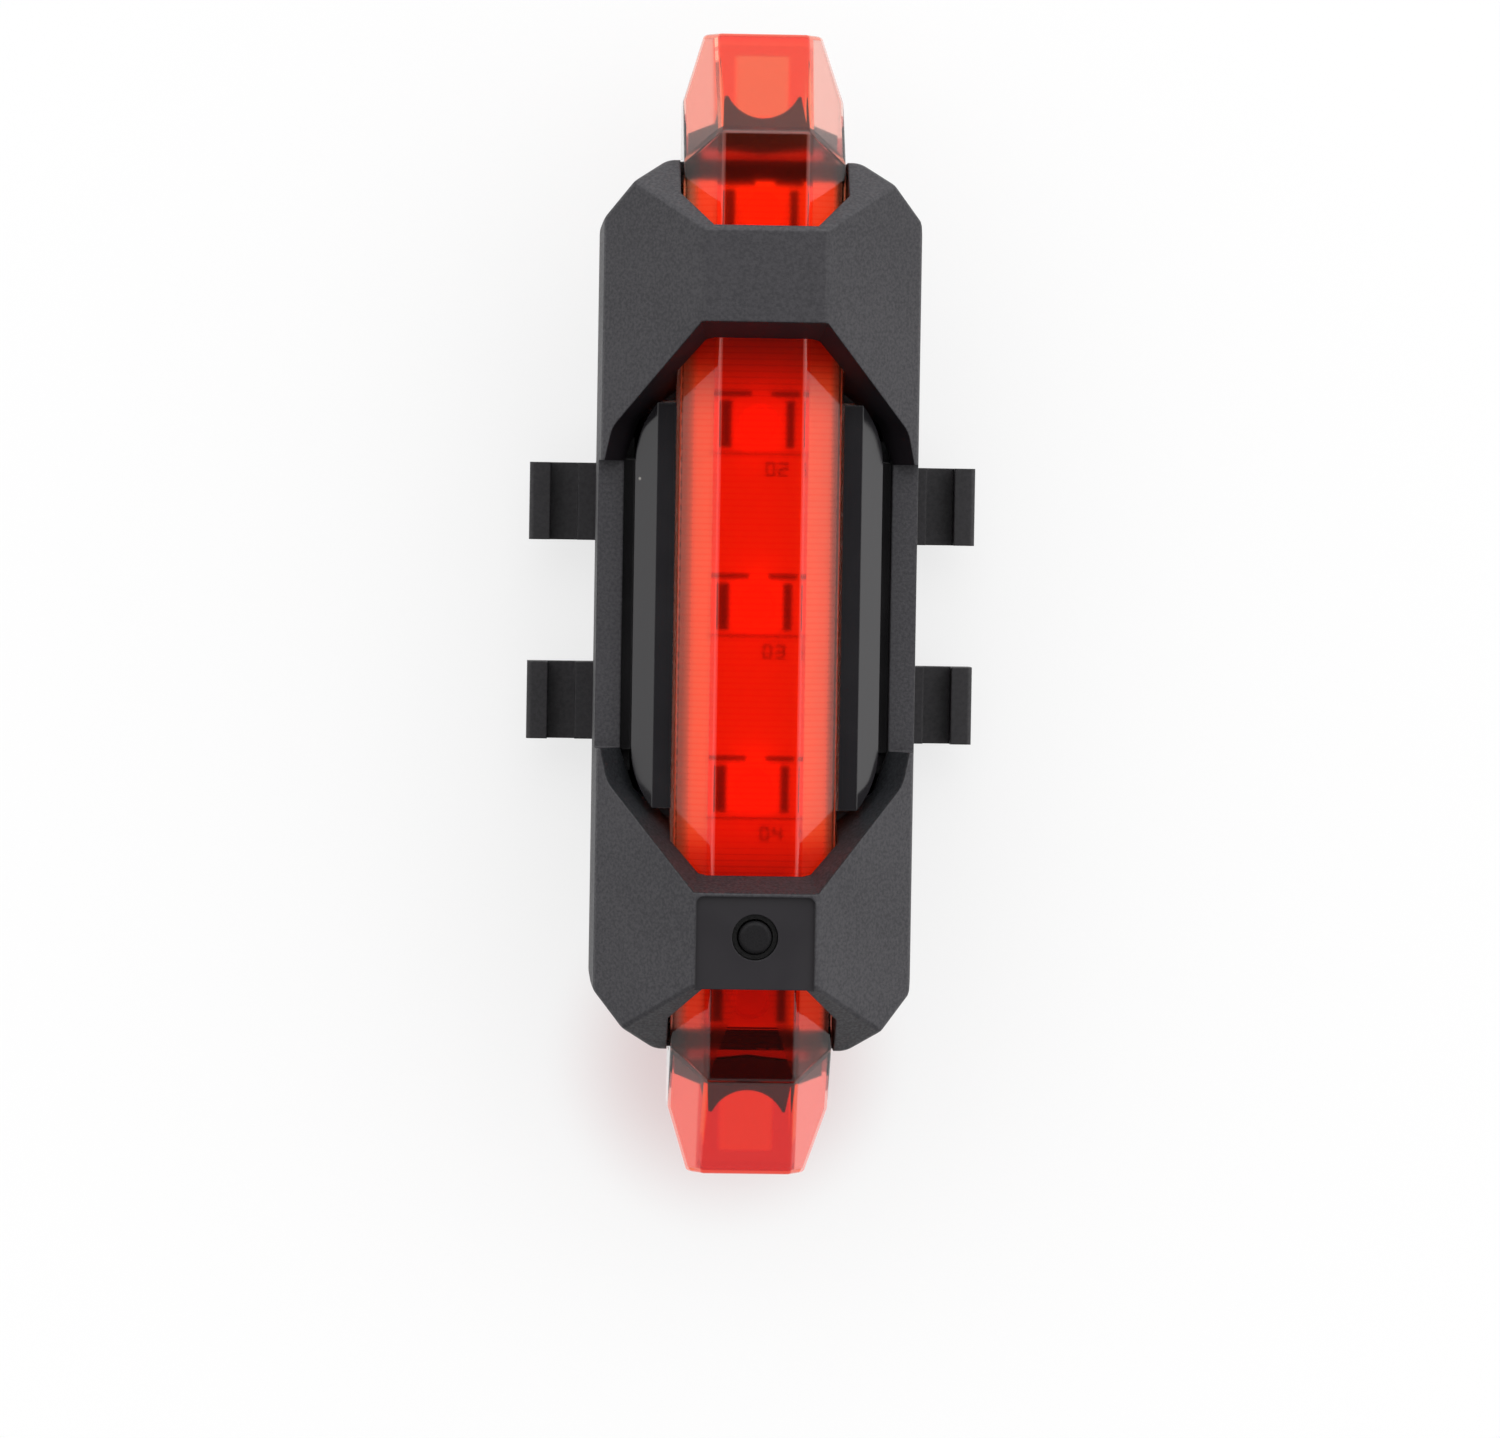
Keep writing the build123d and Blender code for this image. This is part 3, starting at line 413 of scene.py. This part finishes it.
def lens_tint_and_light_group():
    # the red tint goes from the window to the noses, with painted light in it: paler on the sloping
    # flanks than on top as a painted reflection, less so toward the window's ends, darker at the rim
    # beside the strips and at the roots of the noses as painted shade, paler on the pads, and darker at
    # the near end and on the left as painted shade, since the light comes from the far end and the
    # right
    group, given, result = finish_group(
        "lens_tint_and_light",
        {},
        {"Crown": crown_tint, "Flank": window_flank_sheen},
        {"Color": "Color", "Glint": "Color", "Ripple": "Float"},
    )
    x, y, z = sides(group)
    along = computed(group, "ABSOLUTE", y)
    aside = computed(group, "ABSOLUTE", x)
    flare = faded(group, along, lens_bend, lens_tip, crease_flare)
    across = computed(group, "SUBTRACT", aside, flare)
    on_nose = faded(group, along, nose_start, lens_bend)
    on_flank = faded(group, across, flank_start, flank_full)
    on_right = faded(group, x, -half_blend, half_blend)
    on_far_end = faded(group, y, -half_blend, half_blend)
    on_tip = faded(group, along, tip_start, tip_full)

    # painted shade: the lens darkens at its rim beside the strips
    rim_place = computed(group, "ABSOLUTE", computed(group, "SUBTRACT", x, rim_shift))
    in_rim_shade = faded(group, rim_place, rim_start, rim_full)
    at_window_end = faded(group, along, window_end_start, window_end_full)
    window_flank = mixed(group, at_window_end, given["Flank"], window_end_sheen)
    window_tint_and_light = mixed(group, on_flank, given["Crown"], window_flank)
    window_tint_and_light = mixed(group, in_rim_shade, window_tint_and_light, rim_shade)

    near_flank = mixed(group, on_right, near_left_flank_light, near_right_flank_light)
    far_flank = mixed(group, on_right, far_left_flank_light, far_right_flank_light)
    nose_flank_light = mixed(group, on_far_end, near_flank, far_flank)
    slope_tint_and_light = mixed(group, on_far_end, near_slope_shaded, far_slope_lit)
    tip_tint_and_light = mixed(group, on_far_end, near_tip_shaded, far_tip_lit)
    slope_tint_and_light = mixed(group, on_tip, slope_tint_and_light, tip_tint_and_light)

    across_pad = near(group, aside, 0.0, pad_half_width)
    along_pad = near(group, along, pad_middle, pad_half_length)
    level_pad = near(group, z, pad_level, pad_reach)
    on_pad = computed(group, "MULTIPLY", computed(group, "MULTIPLY", across_pad, along_pad), level_pad)
    pad_tint_and_light = mixed(group, on_far_end, near_pad_shaded, far_pad_lit)
    slope_tint_and_light = mixed(group, on_pad, slope_tint_and_light, pad_tint_and_light)
    nose_tint_and_light = mixed(group, on_flank, slope_tint_and_light, nose_flank_light)
    color = mixed(group, on_nose, window_tint_and_light, nose_tint_and_light)

    # painted shade: a dark band at the root of each nose
    level_root = near(group, z, root_level, root_depth)
    along_root = near(group, along, root_middle, root_reach)
    in_root_shade = computed(group, "MULTIPLY", level_root, along_root)
    root_shading = mixed(group, on_far_end, near_root_shade, far_root_shade)
    group.links.new(mixed(group, in_root_shade, color, root_shading), result["Color"])
    group.links.new(lens_glint(group, along, aside, y, z), result["Glint"])
    group.links.new(specks(group, ripple_scale), result["Ripple"])
    return group


lens_tint_and_light = lens_tint_and_light_group()


def red_plastic(name, roughness, bending, ribs):
    material, tree, surface = shader(name, crown_tint, roughness)
    surface.inputs["Transmission Weight"].default_value = 1.0
    surface.inputs["IOR"].default_value = bending
    tint_and_light = finish(tree, lens_tint_and_light, {}, {"Crown": crown_tint, "Flank": window_flank_sheen})
    color = tint_and_light["Color"]
    if ribs:
        # painted shade: soft dark lines at the edges of the ribs, every half pitch, across the inner
        # face
        y = sides(tree)[1]
        step = computed(tree, "PINGPONG", y, rib_pitch / 2)
        line = faded(tree, step, rib_pitch / 4, rib_pitch / 2, rib_line_share)
        color = mixed(tree, line, color, rib_edge_shade)
    else:
        # painted highlight: the crown's creases glow faintly as emission
        tree.links.new(tint_and_light["Glint"], surface.inputs["Emission Color"])
        surface.inputs["Emission Strength"].default_value = glint_strength
    tree.links.new(color, surface.inputs["Base Color"])
    bump = tree.nodes.new("ShaderNodeBump")
    bump.inputs["Distance"].default_value = ripple_depth
    bump.inputs["Strength"].default_value = ripple_strength
    tree.links.new(tint_and_light["Ripple"], bump.inputs["Height"])
    tree.links.new(bump.outputs["Normal"], surface.inputs["Normal"])
    return material


# the near nose bends light less than the real plastic, so that the table shows less on its slope
clear_bending = 1.49
near_nose_bending = 1.32
clear_roughness = 0.06
ribbed_roughness = 0.26
clear_red = red_plastic("red_lens", clear_roughness, clear_bending, ribs=False)
ribbed_red = red_plastic("ribbed_lens", ribbed_roughness, clear_bending, ribs=True)
near_nose_red = red_plastic("low_nose", clear_roughness, near_nose_bending, ribs=False)
dress("lens", clear_red, ribbed_red, near_nose_red)
for face in nodes["lens"].data.polygons:
    middle = face.center
    faces_down = face.normal.z < ribbed_most_up
    if faces_down and abs(middle.y) < ribbed_reach and middle.z > ribbed_foot:
        face.material_index = 1
    if middle.y < -lens_bend:
        face.material_index = 2

# Side strips
# Two polished black strips beside the lens, each with a flat land and a face that slopes away.
# They clip under the rails of the cover.
strip_black = (0.014, 0.013, 0.015)
strip_dust = (0.35, 0.33, 0.3)
strip_bending = 1.62
strip_plastic = polished_plastic(
    "gloss_strip", strip_black, strip_dust, clean=0.1, hazy=0.2, edge_radius=0.1 * mm
)
strip_plastic.node_tree.nodes["Principled BSDF"].inputs["IOR"].default_value = strip_bending
dress("bezel_left", strip_plastic)
dress("bezel_right", strip_plastic)

# Push button and rubber parts
# The button is a small domed cap of dull black plastic in a rubber ring. The charging port's plug
# and its anchor, the gasket and the saddle pad are moulded in the same soft black rubber. The ring
# is a darker copy of that rubber, painted shade for the gap round the cap.
button_dark = (0.0060, 0.0055, 0.0065)
button_light = (0.0110, 0.0105, 0.0115)
button_plastic = sparked_plastic(
    "button_plastic", button_dark, button_light,
    grain=9000, depth=0.01 * mm, edge_radius=0.1 * mm, gloss=0.15,
)
dress("mode_button", button_plastic)
rubber_grain = 4000
rubber_grain_depth = 0.02 * mm
rubber_edge = 0.1 * mm
rubber_dark = (0.012, 0.012, 0.012)
rubber_light = (0.022, 0.022, 0.022)
soft_rubber = sparked_plastic(
    "soft_rubber", rubber_dark, rubber_light, rubber_grain, rubber_grain_depth, rubber_edge
)
for name in ("usb_plug", "plug_anchor", "case_gasket", "saddle_pad"):
    dress(name, soft_rubber)
# painted shade: the ring round the button is darker than the other rubber parts, for the gap it sits in
seal_shade_dark = (0.003, 0.003, 0.003)
seal_shade_light = (0.006, 0.006, 0.006)
seal_rubber = sparked_plastic(
    "seal_rubber", seal_shade_dark, seal_shade_light, rubber_grain, rubber_grain_depth, rubber_edge
)
dress("button_seal", seal_rubber)

# Circuit board
# A white-coated board carries the five lamps. Dark ink brackets are printed round each lamp to
# show where it is soldered, with a small plain number below it. The board and the ink carry a
# painted red glow, emission that stands for the light the lens spreads below them.
window_glow_shift = 1.2 * mm
window_glow_full = 13.0 * mm
window_glow_end = 18.8 * mm
end_glow_start = 23.6 * mm
end_glow_full = 24.6 * mm
flank_shade_start = 2.5 * mm
flank_shade_full = 3.0 * mm
side_dark_start = 4.3 * mm
side_dark_full = 5.6 * mm

window_glow = (1.0, 0.06, 0.01)
window_flank_glow = (1.3, 0.24, 0.10)
far_glow = (1.0, 0.20, 0.01)
far_flank_glow = (1.4, 0.7, 0.42)
near_glow = (0.27, 0.02, 0.0)
near_flank_glow = (0.95, 0.50, 0.46)


def red_glow_group():
    # painted light: emission that stands for the faint red light the lens spreads below it, under the
    # window and under both noses, paler and stronger under the flanks, fading out beyond the sides,
    # brighter at the far end and dim at the near end
    group, given, result = finish_group("red_glow", {}, {"Window": window_glow}, {"Color": "Color"})
    x, y = sides(group)[:2]
    aside = computed(group, "ABSOLUTE", x)
    in_window = computed(group, "ABSOLUTE", computed(group, "ADD", y, window_glow_shift))
    beyond_window = faded(group, in_window, window_glow_full, window_glow_end)
    under_flank = faded(group, aside, flank_shade_start, flank_shade_full)
    beyond_sides = faded(group, aside, side_dark_start, side_dark_full)
    far_end = faded(group, y, end_glow_start, end_glow_full)
    near_end = faded(group, y, -end_glow_start, -end_glow_full)
    glow = mixed(group, under_flank, given["Window"], window_flank_glow)
    glow = mixed(group, beyond_window, glow, no_light)
    glow = mixed(group, beyond_sides, glow, no_light)
    glow = mixed(group, far_end, glow, mixed(group, under_flank, far_glow, far_flank_glow))
    glow = mixed(group, near_end, glow, mixed(group, under_flank, near_glow, near_flank_glow))
    group.links.new(glow, result["Color"])
    return group


red_glow = red_glow_group()


# painted light: the red glow goes in as emission
def lit_red(tree, surface, strength):
    glow = finish(tree, red_glow, {}, {"Window": window_glow})
    tree.links.new(glow["Color"], surface.inputs["Emission Color"])
    surface.inputs["Emission Strength"].default_value = strength


board_dull = (0.88, 0.87, 0.85)
board_bright = (0.96, 0.95, 0.93)
board_speck_scale = 900.0
board_glow = 0.5
board_paint, board_tree, board_surface = shader("board_white", board_bright, roughness=0.3)
board_tone = mixed(board_tree, specks(board_tree, board_speck_scale), board_dull, board_bright)
board_tree.links.new(board_tone, board_surface.inputs["Base Color"])
# painted light: the board glows with the red glow
lit_red(board_tree, board_surface, board_glow)
dress("led_board", board_paint)


def mottle_group():
    # fine uneven tone, scaled to the size of each small piece
    group, given, result = finish_group(
        "mottle",
        {"Scale": 1000.0, "Detail": 2.0},
        {"Dark": (0.04, 0.04, 0.04), "Light": (0.1, 0.1, 0.1)},
        {"Color": "Color", "Share": "Float"},
    )
    noise = group.nodes.new("ShaderNodeTexNoise")
    group.links.new(given["Scale"], noise.inputs["Scale"])
    group.links.new(given["Detail"], noise.inputs["Detail"])
    share = noise.outputs["Fac"]
    group.links.new(mixed(group, share, given["Dark"], given["Light"]), result["Color"])
    group.links.new(share, result["Share"])
    return group


mottle = mottle_group()
ink_dark = (0.04, 0.035, 0.03)
ink_light = (0.14, 0.13, 0.12)
ink_speck_scale = 6000.0
ink_glow = 0.10
ink, ink_tree, ink_surface = shader("board_ink", ink_dark, roughness=0.6)
ink_tone = finish(ink_tree, mottle, {"Scale": ink_speck_scale}, {"Dark": ink_dark, "Light": ink_light})
ink_tree.links.new(ink_tone["Color"], ink_surface.inputs["Base Color"])
# painted light: the ink glows faintly with the red glow
lit_red(ink_tree, ink_surface, ink_glow)

ink_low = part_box("led_board")[1].z
ink_thickness = 0.03 * mm


def ink_marks(name, strokes):
    # each stroke is (left, right, near, far) in millimetres on the face of the board
    points = []
    faces = []
    for left, right, start, end in strokes:
        base = len(points)
        for z in (ink_low, ink_low + ink_thickness):
            corners = ((left, start), (right, start), (right, end), (left, end))
            points += [(x * mm, y * mm, z) for x, y in corners]
        faces.append((base + 4, base + 5, base + 6, base + 7))
        for step in range(4):
            other = (step + 1) % 4
            faces.append((base + step, base + other, base + other + 4, base + step + 4))
    mesh = bpy.data.meshes.new(name)
    mesh.from_pydata(points, [], faces)
    mesh.materials.append(ink)
    marks = bpy.data.objects.new(name, mesh)
    bpy.context.scene.collection.objects.link(marks)
    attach(marks, "housing")


bracket_strokes = (
    (-2.5, -1.8, -1.6, 1.5),
    (1.8, 2.35, -1.6, 1.5),
    (-2.6, -0.5, 1.8, 2.12),
    (0.8, 2.7, 1.8, 2.12),
    (-2.9, 2.9, -2.06, -1.94),
)
digit_bars = {
    "top": (0, 0.6, 0.8, 0.92),
    "middle": (0, 0.6, 0.4, 0.52),
    "bottom": (0, 0.6, 0, 0.12),
    "upper left": (0, 0.12, 0.46, 0.92),
    "upper right": (0.48, 0.6, 0.46, 0.92),
    "lower left": (0, 0.12, 0, 0.46),
    "lower right": (0.48, 0.6, 0, 0.46),
}
digit_shapes = {
    "0": ("top", "upper left", "upper right", "lower left", "lower right", "bottom"),
    "1": ("upper right", "lower right"),
    "2": ("top", "upper right", "middle", "lower left", "bottom"),
    "3": ("top", "upper right", "middle", "lower right", "bottom"),
    "4": ("upper left", "upper right", "middle", "lower right"),
    "5": ("top", "upper left", "middle", "lower right", "bottom"),
}
digit_start = 0.5
digit_pitch = 0.85
digit_drop = 3.45
lamp_numbers = (1, 2, 3, 4, 5)
for number in lamp_numbers:
    low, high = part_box(f"led_{number}")
    middle = (low.y + high.y) / 2 / mm
    strokes = []
    for left, right, start, end in bracket_strokes:
        strokes.append((left, right, middle + start, middle + end))
    ink_marks(f"lamp_brackets_{number}", strokes)
    strokes = []
    for column, digit in enumerate(f"0{number}"):
        left = digit_start + column * digit_pitch
        foot = middle - digit_drop
        for bar in digit_shapes[digit]:
            x_low, x_high, y_low, y_high = digit_bars[bar]
            strokes.append((left + x_low, left + x_high, foot + y_low, foot + y_high))
    ink_marks(f"lamp_number_{number}", strokes)

# Lamps
# Each lamp is a white square body with a shallow bowl of yellow phosphor in its top, soldered to
# the board. The small charge lamp beside the button's switch is made the same way. Their bodies and
# bowls carry the same painted red glow as the board, as emission, not light of their own.
body_white = (0.9, 0.88, 0.82)
body_pale = (0.95, 0.93, 0.88)
gel_yellow = (0.95, 0.72, 0.12)
gel_pale = (1.0, 0.82, 0.2)
lamp_speck_scale = 2500.0
lamp_glow = 0.75


def lamp_finish(name, color, pale, roughness):
    material, tree, surface = shader(name, color, roughness)
    tone = finish(tree, mottle, {"Scale": lamp_speck_scale}, {"Dark": color, "Light": pale})
    tree.links.new(tone["Color"], surface.inputs["Base Color"])
    # painted light: the lamps glow with the red glow, though they are not switched on
    lit_red(tree, surface, lamp_glow)
    return material


lamp_body = lamp_finish("lamp_body", body_white, body_pale, roughness=0.25)
lamp_gel = lamp_finish("lamp_gel", gel_yellow, gel_pale, roughness=0.2)
bowl_radius = 1.35 * mm
bowl_drop = 0.02 * mm
bowl_least_up = 0.5
for number in lamp_numbers:
    name = f"led_{number}"
    dress(name, lamp_body, lamp_gel)
    low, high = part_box(name)
    for face in nodes[name].data.polygons:
        from_middle = math.hypot(face.center.x, face.center.y - (low.y + high.y) / 2)
        sunk = face.center.z < high.z - bowl_drop
        if face.normal.z > bowl_least_up and sunk and from_middle < bowl_radius:
            face.material_index = 1
dress("charge_indicator", lamp_body)

# Chips, switch and small parts
# Black epoxy chips, whose tinned pins get no finish of their own, a black click switch and grey
# ceramic resistors and capacitors, all soldered to the board.
chip_dark = (0.02, 0.02, 0.02)
chip_dust = (0.05, 0.05, 0.05)
chip_edge = 0.05 * mm
chip_black = polished_plastic(
    "chip_black", chip_dark, chip_dust, clean=0.4, hazy=0.5, edge_radius=chip_edge
)
for name in ("mode_chip", "charge_chip", "usb_tongue", "tact_switch", "switch_plunger"):
    dress(name, chip_black)
ceramic_grey = (0.12, 0.11, 0.1)
ceramic_dust = (0.3, 0.3, 0.3)
small_ceramic = polished_plastic(
    "small_parts", ceramic_grey, ceramic_dust, clean=0.35, hazy=0.5, edge_radius=chip_edge
)
for name in ("current_resistors", "capacitors"):
    dress(name, small_ceramic)

# Charging socket, battery and screws
# The socket is a folded steel shell, the flat cell is wrapped in foil with nickel tabs and lies
# on grey foam, and the four screws are blackened steel.
wear_detail = 6.0
wear_reach = 0.1


def worn_metal(name, dark, light, roughness, scale):
    material, tree, surface = shader(name, light, roughness)
    surface.inputs["Metallic"].default_value = 1.0
    rub = finish(tree, mottle, {"Scale": scale, "Detail": wear_detail}, {"Dark": dark, "Light": light})
    tree.links.new(rub["Color"], surface.inputs["Base Color"])
    rough = spread(tree, rub["Share"], 0.0, 1.0, roughness - wear_reach, roughness + wear_reach)
    tree.links.new(rough, surface.inputs["Roughness"])
    return material


steel_dark = (0.55, 0.55, 0.57)
steel_light = (0.75, 0.75, 0.77)
socket_steel = worn_metal("socket_steel", steel_dark, steel_light, roughness=0.3, scale=700)
dress("usb_socket", socket_steel)
nickel_dark = (0.6, 0.58, 0.54)
nickel_light = (0.75, 0.73, 0.69)
tab_nickel = worn_metal("tab_nickel", nickel_dark, nickel_light, roughness=0.3, scale=900)
dress("battery_tab_positive", tab_nickel)
dress("battery_tab_negative", tab_nickel)
foil_dark = (0.6, 0.61, 0.63)
foil_light = (0.78, 0.79, 0.8)
battery_foil = worn_metal("battery_foil", foil_dark, foil_light, roughness=0.35, scale=300)
dress("battery_cell", battery_foil)
screw_dark = (0.06, 0.06, 0.065)
screw_light = (0.16, 0.16, 0.17)
screw_steel = worn_metal("screw_steel", screw_dark, screw_light, roughness=0.4, scale=1500)
dress("case_screws", screw_steel)
foam_dark = (0.16, 0.16, 0.17)
foam_light = (0.3, 0.3, 0.3)
foam_grey = sparked_plastic(
    "foam_grey", foam_dark, foam_light, grain=1500, depth=0.1 * mm, edge_radius=0.1 * mm
)
dress("battery_foam", foam_grey)

# Bracket
# A plain black moulding that slides into the keel of the case, with a curved saddle below and
# two hooks a side for the rubber strap.
bracket_dark = (0.010, 0.009, 0.011)
bracket_light = (0.017, 0.015, 0.018)
bracket_plastic = sparked_plastic(
    "bracket_plastic", bracket_dark, bracket_light,
    grain=4000, depth=0.008 * mm, edge_radius=0.15 * mm,
)
dress("mount_bracket", bracket_plastic)

# Table and light
# The light lies on a white sheet in a bright room, with a painted red cast beside its near nose,
# seen only by the camera, for the red light and shade that the lens throws there.
# The ceiling straight above is dark where the camera looks down from, and all round it the light
# is even and soft.
floor_half = 600 * mm
sheet_paint = (0.86, 0.86, 0.86)
sheet_white = (1.0, 1.0, 1.0)
painted_red_cast = (0.80, 0.66, 0.66)
red_cast_middle = (-1.0 * mm, -31.0 * mm, 0)
red_cast_start = 4 * mm
red_cast_end = 13 * mm
white_share_seen = 0.72
white_share_through = 0.92
floor_mesh = bpy.data.meshes.new("floor")
corners = [(-1, -1), (1, -1), (1, 1), (-1, 1)]
floor_mesh.from_pydata([(x * floor_half, y * floor_half, 0) for x, y in corners], [], [(0, 1, 2, 3)])
floor = bpy.data.objects.new("floor", floor_mesh)
bpy.context.scene.collection.objects.link(floor)
floor_paint, floor_tree, floor_surface = shader("floor", sheet_paint, roughness=0.9)
floor_surface.inputs["Specular IOR Level"].default_value = 0.0
seen = floor_tree.nodes.new("ShaderNodeLightPath").outputs
floor_place = floor_tree.nodes.new("ShaderNodeTexCoord")
from_nose = floor_tree.nodes.new("ShaderNodeVectorMath")
from_nose.operation = "DISTANCE"
from_nose.inputs[1].default_value = red_cast_middle
floor_tree.links.new(floor_place.outputs["Object"], from_nose.inputs[0])
# painted light: a red cast on the sheet round the near nose, for camera rays only
away = faded(floor_tree, from_nose.outputs["Value"], red_cast_start, red_cast_end)
red_cast_tone = mixed(floor_tree, away, painted_red_cast, sheet_white)
sheet_tone = mixed(floor_tree, seen["Is Camera Ray"], sheet_white, red_cast_tone)
white_sheet = floor_tree.nodes.new("ShaderNodeEmission")
floor_tree.links.new(sheet_tone, white_sheet.inputs["Color"])
open_rays = computed(floor_tree, "MAXIMUM", seen["Is Camera Ray"], seen["Is Glossy Ray"])
open_share = computed(floor_tree, "MULTIPLY", open_rays, white_share_seen)
through_share = computed(floor_tree, "MULTIPLY", seen["Is Transmission Ray"], white_share_through)
white_share = computed(floor_tree, "MAXIMUM", open_share, through_share)
sheet_mix = floor_tree.nodes.new("ShaderNodeMixShader")
floor_tree.links.new(white_share, sheet_mix.inputs["Fac"])
floor_tree.links.new(floor_surface.outputs["BSDF"], sheet_mix.inputs[1])
floor_tree.links.new(white_sheet.outputs["Emission"], sheet_mix.inputs[2])
floor_tree.links.new(sheet_mix.outputs["Shader"], floor_tree.nodes["Material Output"].inputs["Surface"])
floor_mesh.materials.append(floor_paint)

room_level = 1.34
room_rise_along = 1.25
room_rise_across = 0.25
ceiling_levels = ((0.5, 1.0), (0.85, 1.0), (0.93, 0.8), (0.965, 0.2))
horizon_level = 0.87
zenith_level = 0.03
world = bpy.data.worlds.new("studio")
bpy.context.scene.world = world
world.use_nodes = True
sky = world.node_tree
background = sky.nodes["Background"]
place = sky.nodes.new("ShaderNodeTexCoord")
split = sky.nodes.new("ShaderNodeSeparateXYZ")
sky.links.new(place.outputs["Generated"], split.inputs["Vector"])
ramp = sky.nodes.new("ShaderNodeValToRGB")
lowest, highest = ramp.color_ramp.elements
lowest.position = 0.0
lowest.color = (horizon_level, horizon_level, horizon_level, 1)
highest.position = 1.0
highest.color = (zenith_level, zenith_level, zenith_level, 1)
for position, level in ceiling_levels:
    stop = ramp.color_ramp.elements.new(position)
    stop.color = (level, level, level, 1)
sky.links.new(split.outputs["Z"], ramp.inputs["Fac"])
rise_along = computed(sky, "MULTIPLY_ADD", split.outputs["Y"], room_rise_along, room_level)
room_light = computed(sky, "MULTIPLY_ADD", split.outputs["X"], room_rise_across, rise_along)
rays = sky.nodes.new("ShaderNodeLightPath").outputs
strength = sky.nodes.new("ShaderNodeMix")
strength.inputs["B"].default_value = 1.0
sky.links.new(rays["Is Camera Ray"], strength.inputs["Factor"])
sky.links.new(room_light, strength.inputs["A"])
room_tone = mixed(sky, rays["Is Camera Ray"], ramp.outputs["Color"], sheet_white)
sky.links.new(room_tone, background.inputs["Color"])
sky.links.new(strength.outputs["Result"], background.inputs["Strength"])

# Camera
# It looks almost straight down, two degrees off square both ways, from half a metre.
camera_distance = 500 * mm
aim_height = 13 * mm
tilt_x = math.radians(1.79)
tilt_y = math.radians(1.92)
roll = math.radians(-0.92)
step_aside = 0.31 * mm
step_up = 7.54 * mm
turn = Matrix.Rotation(roll, 3, "Z") @ Matrix.Rotation(tilt_x, 3, "X") @ Matrix.Rotation(tilt_y, 3, "Y")
camera_data = bpy.data.cameras.new("camera")
camera_data.sensor_width = 36.0
camera_data.lens = 180.9
camera_data.clip_start = 0.01
camera = bpy.data.objects.new("camera", camera_data)
bpy.context.scene.collection.objects.link(camera)
standpoint = Matrix.Translation((-step_aside, -step_up, camera_distance))
camera.matrix_world = Matrix.Translation((0, 0, aim_height)) @ turn.transposed().to_4x4() @ standpoint
bpy.context.scene.camera = camera
bpy.context.scene.view_settings.view_transform = "Standard"
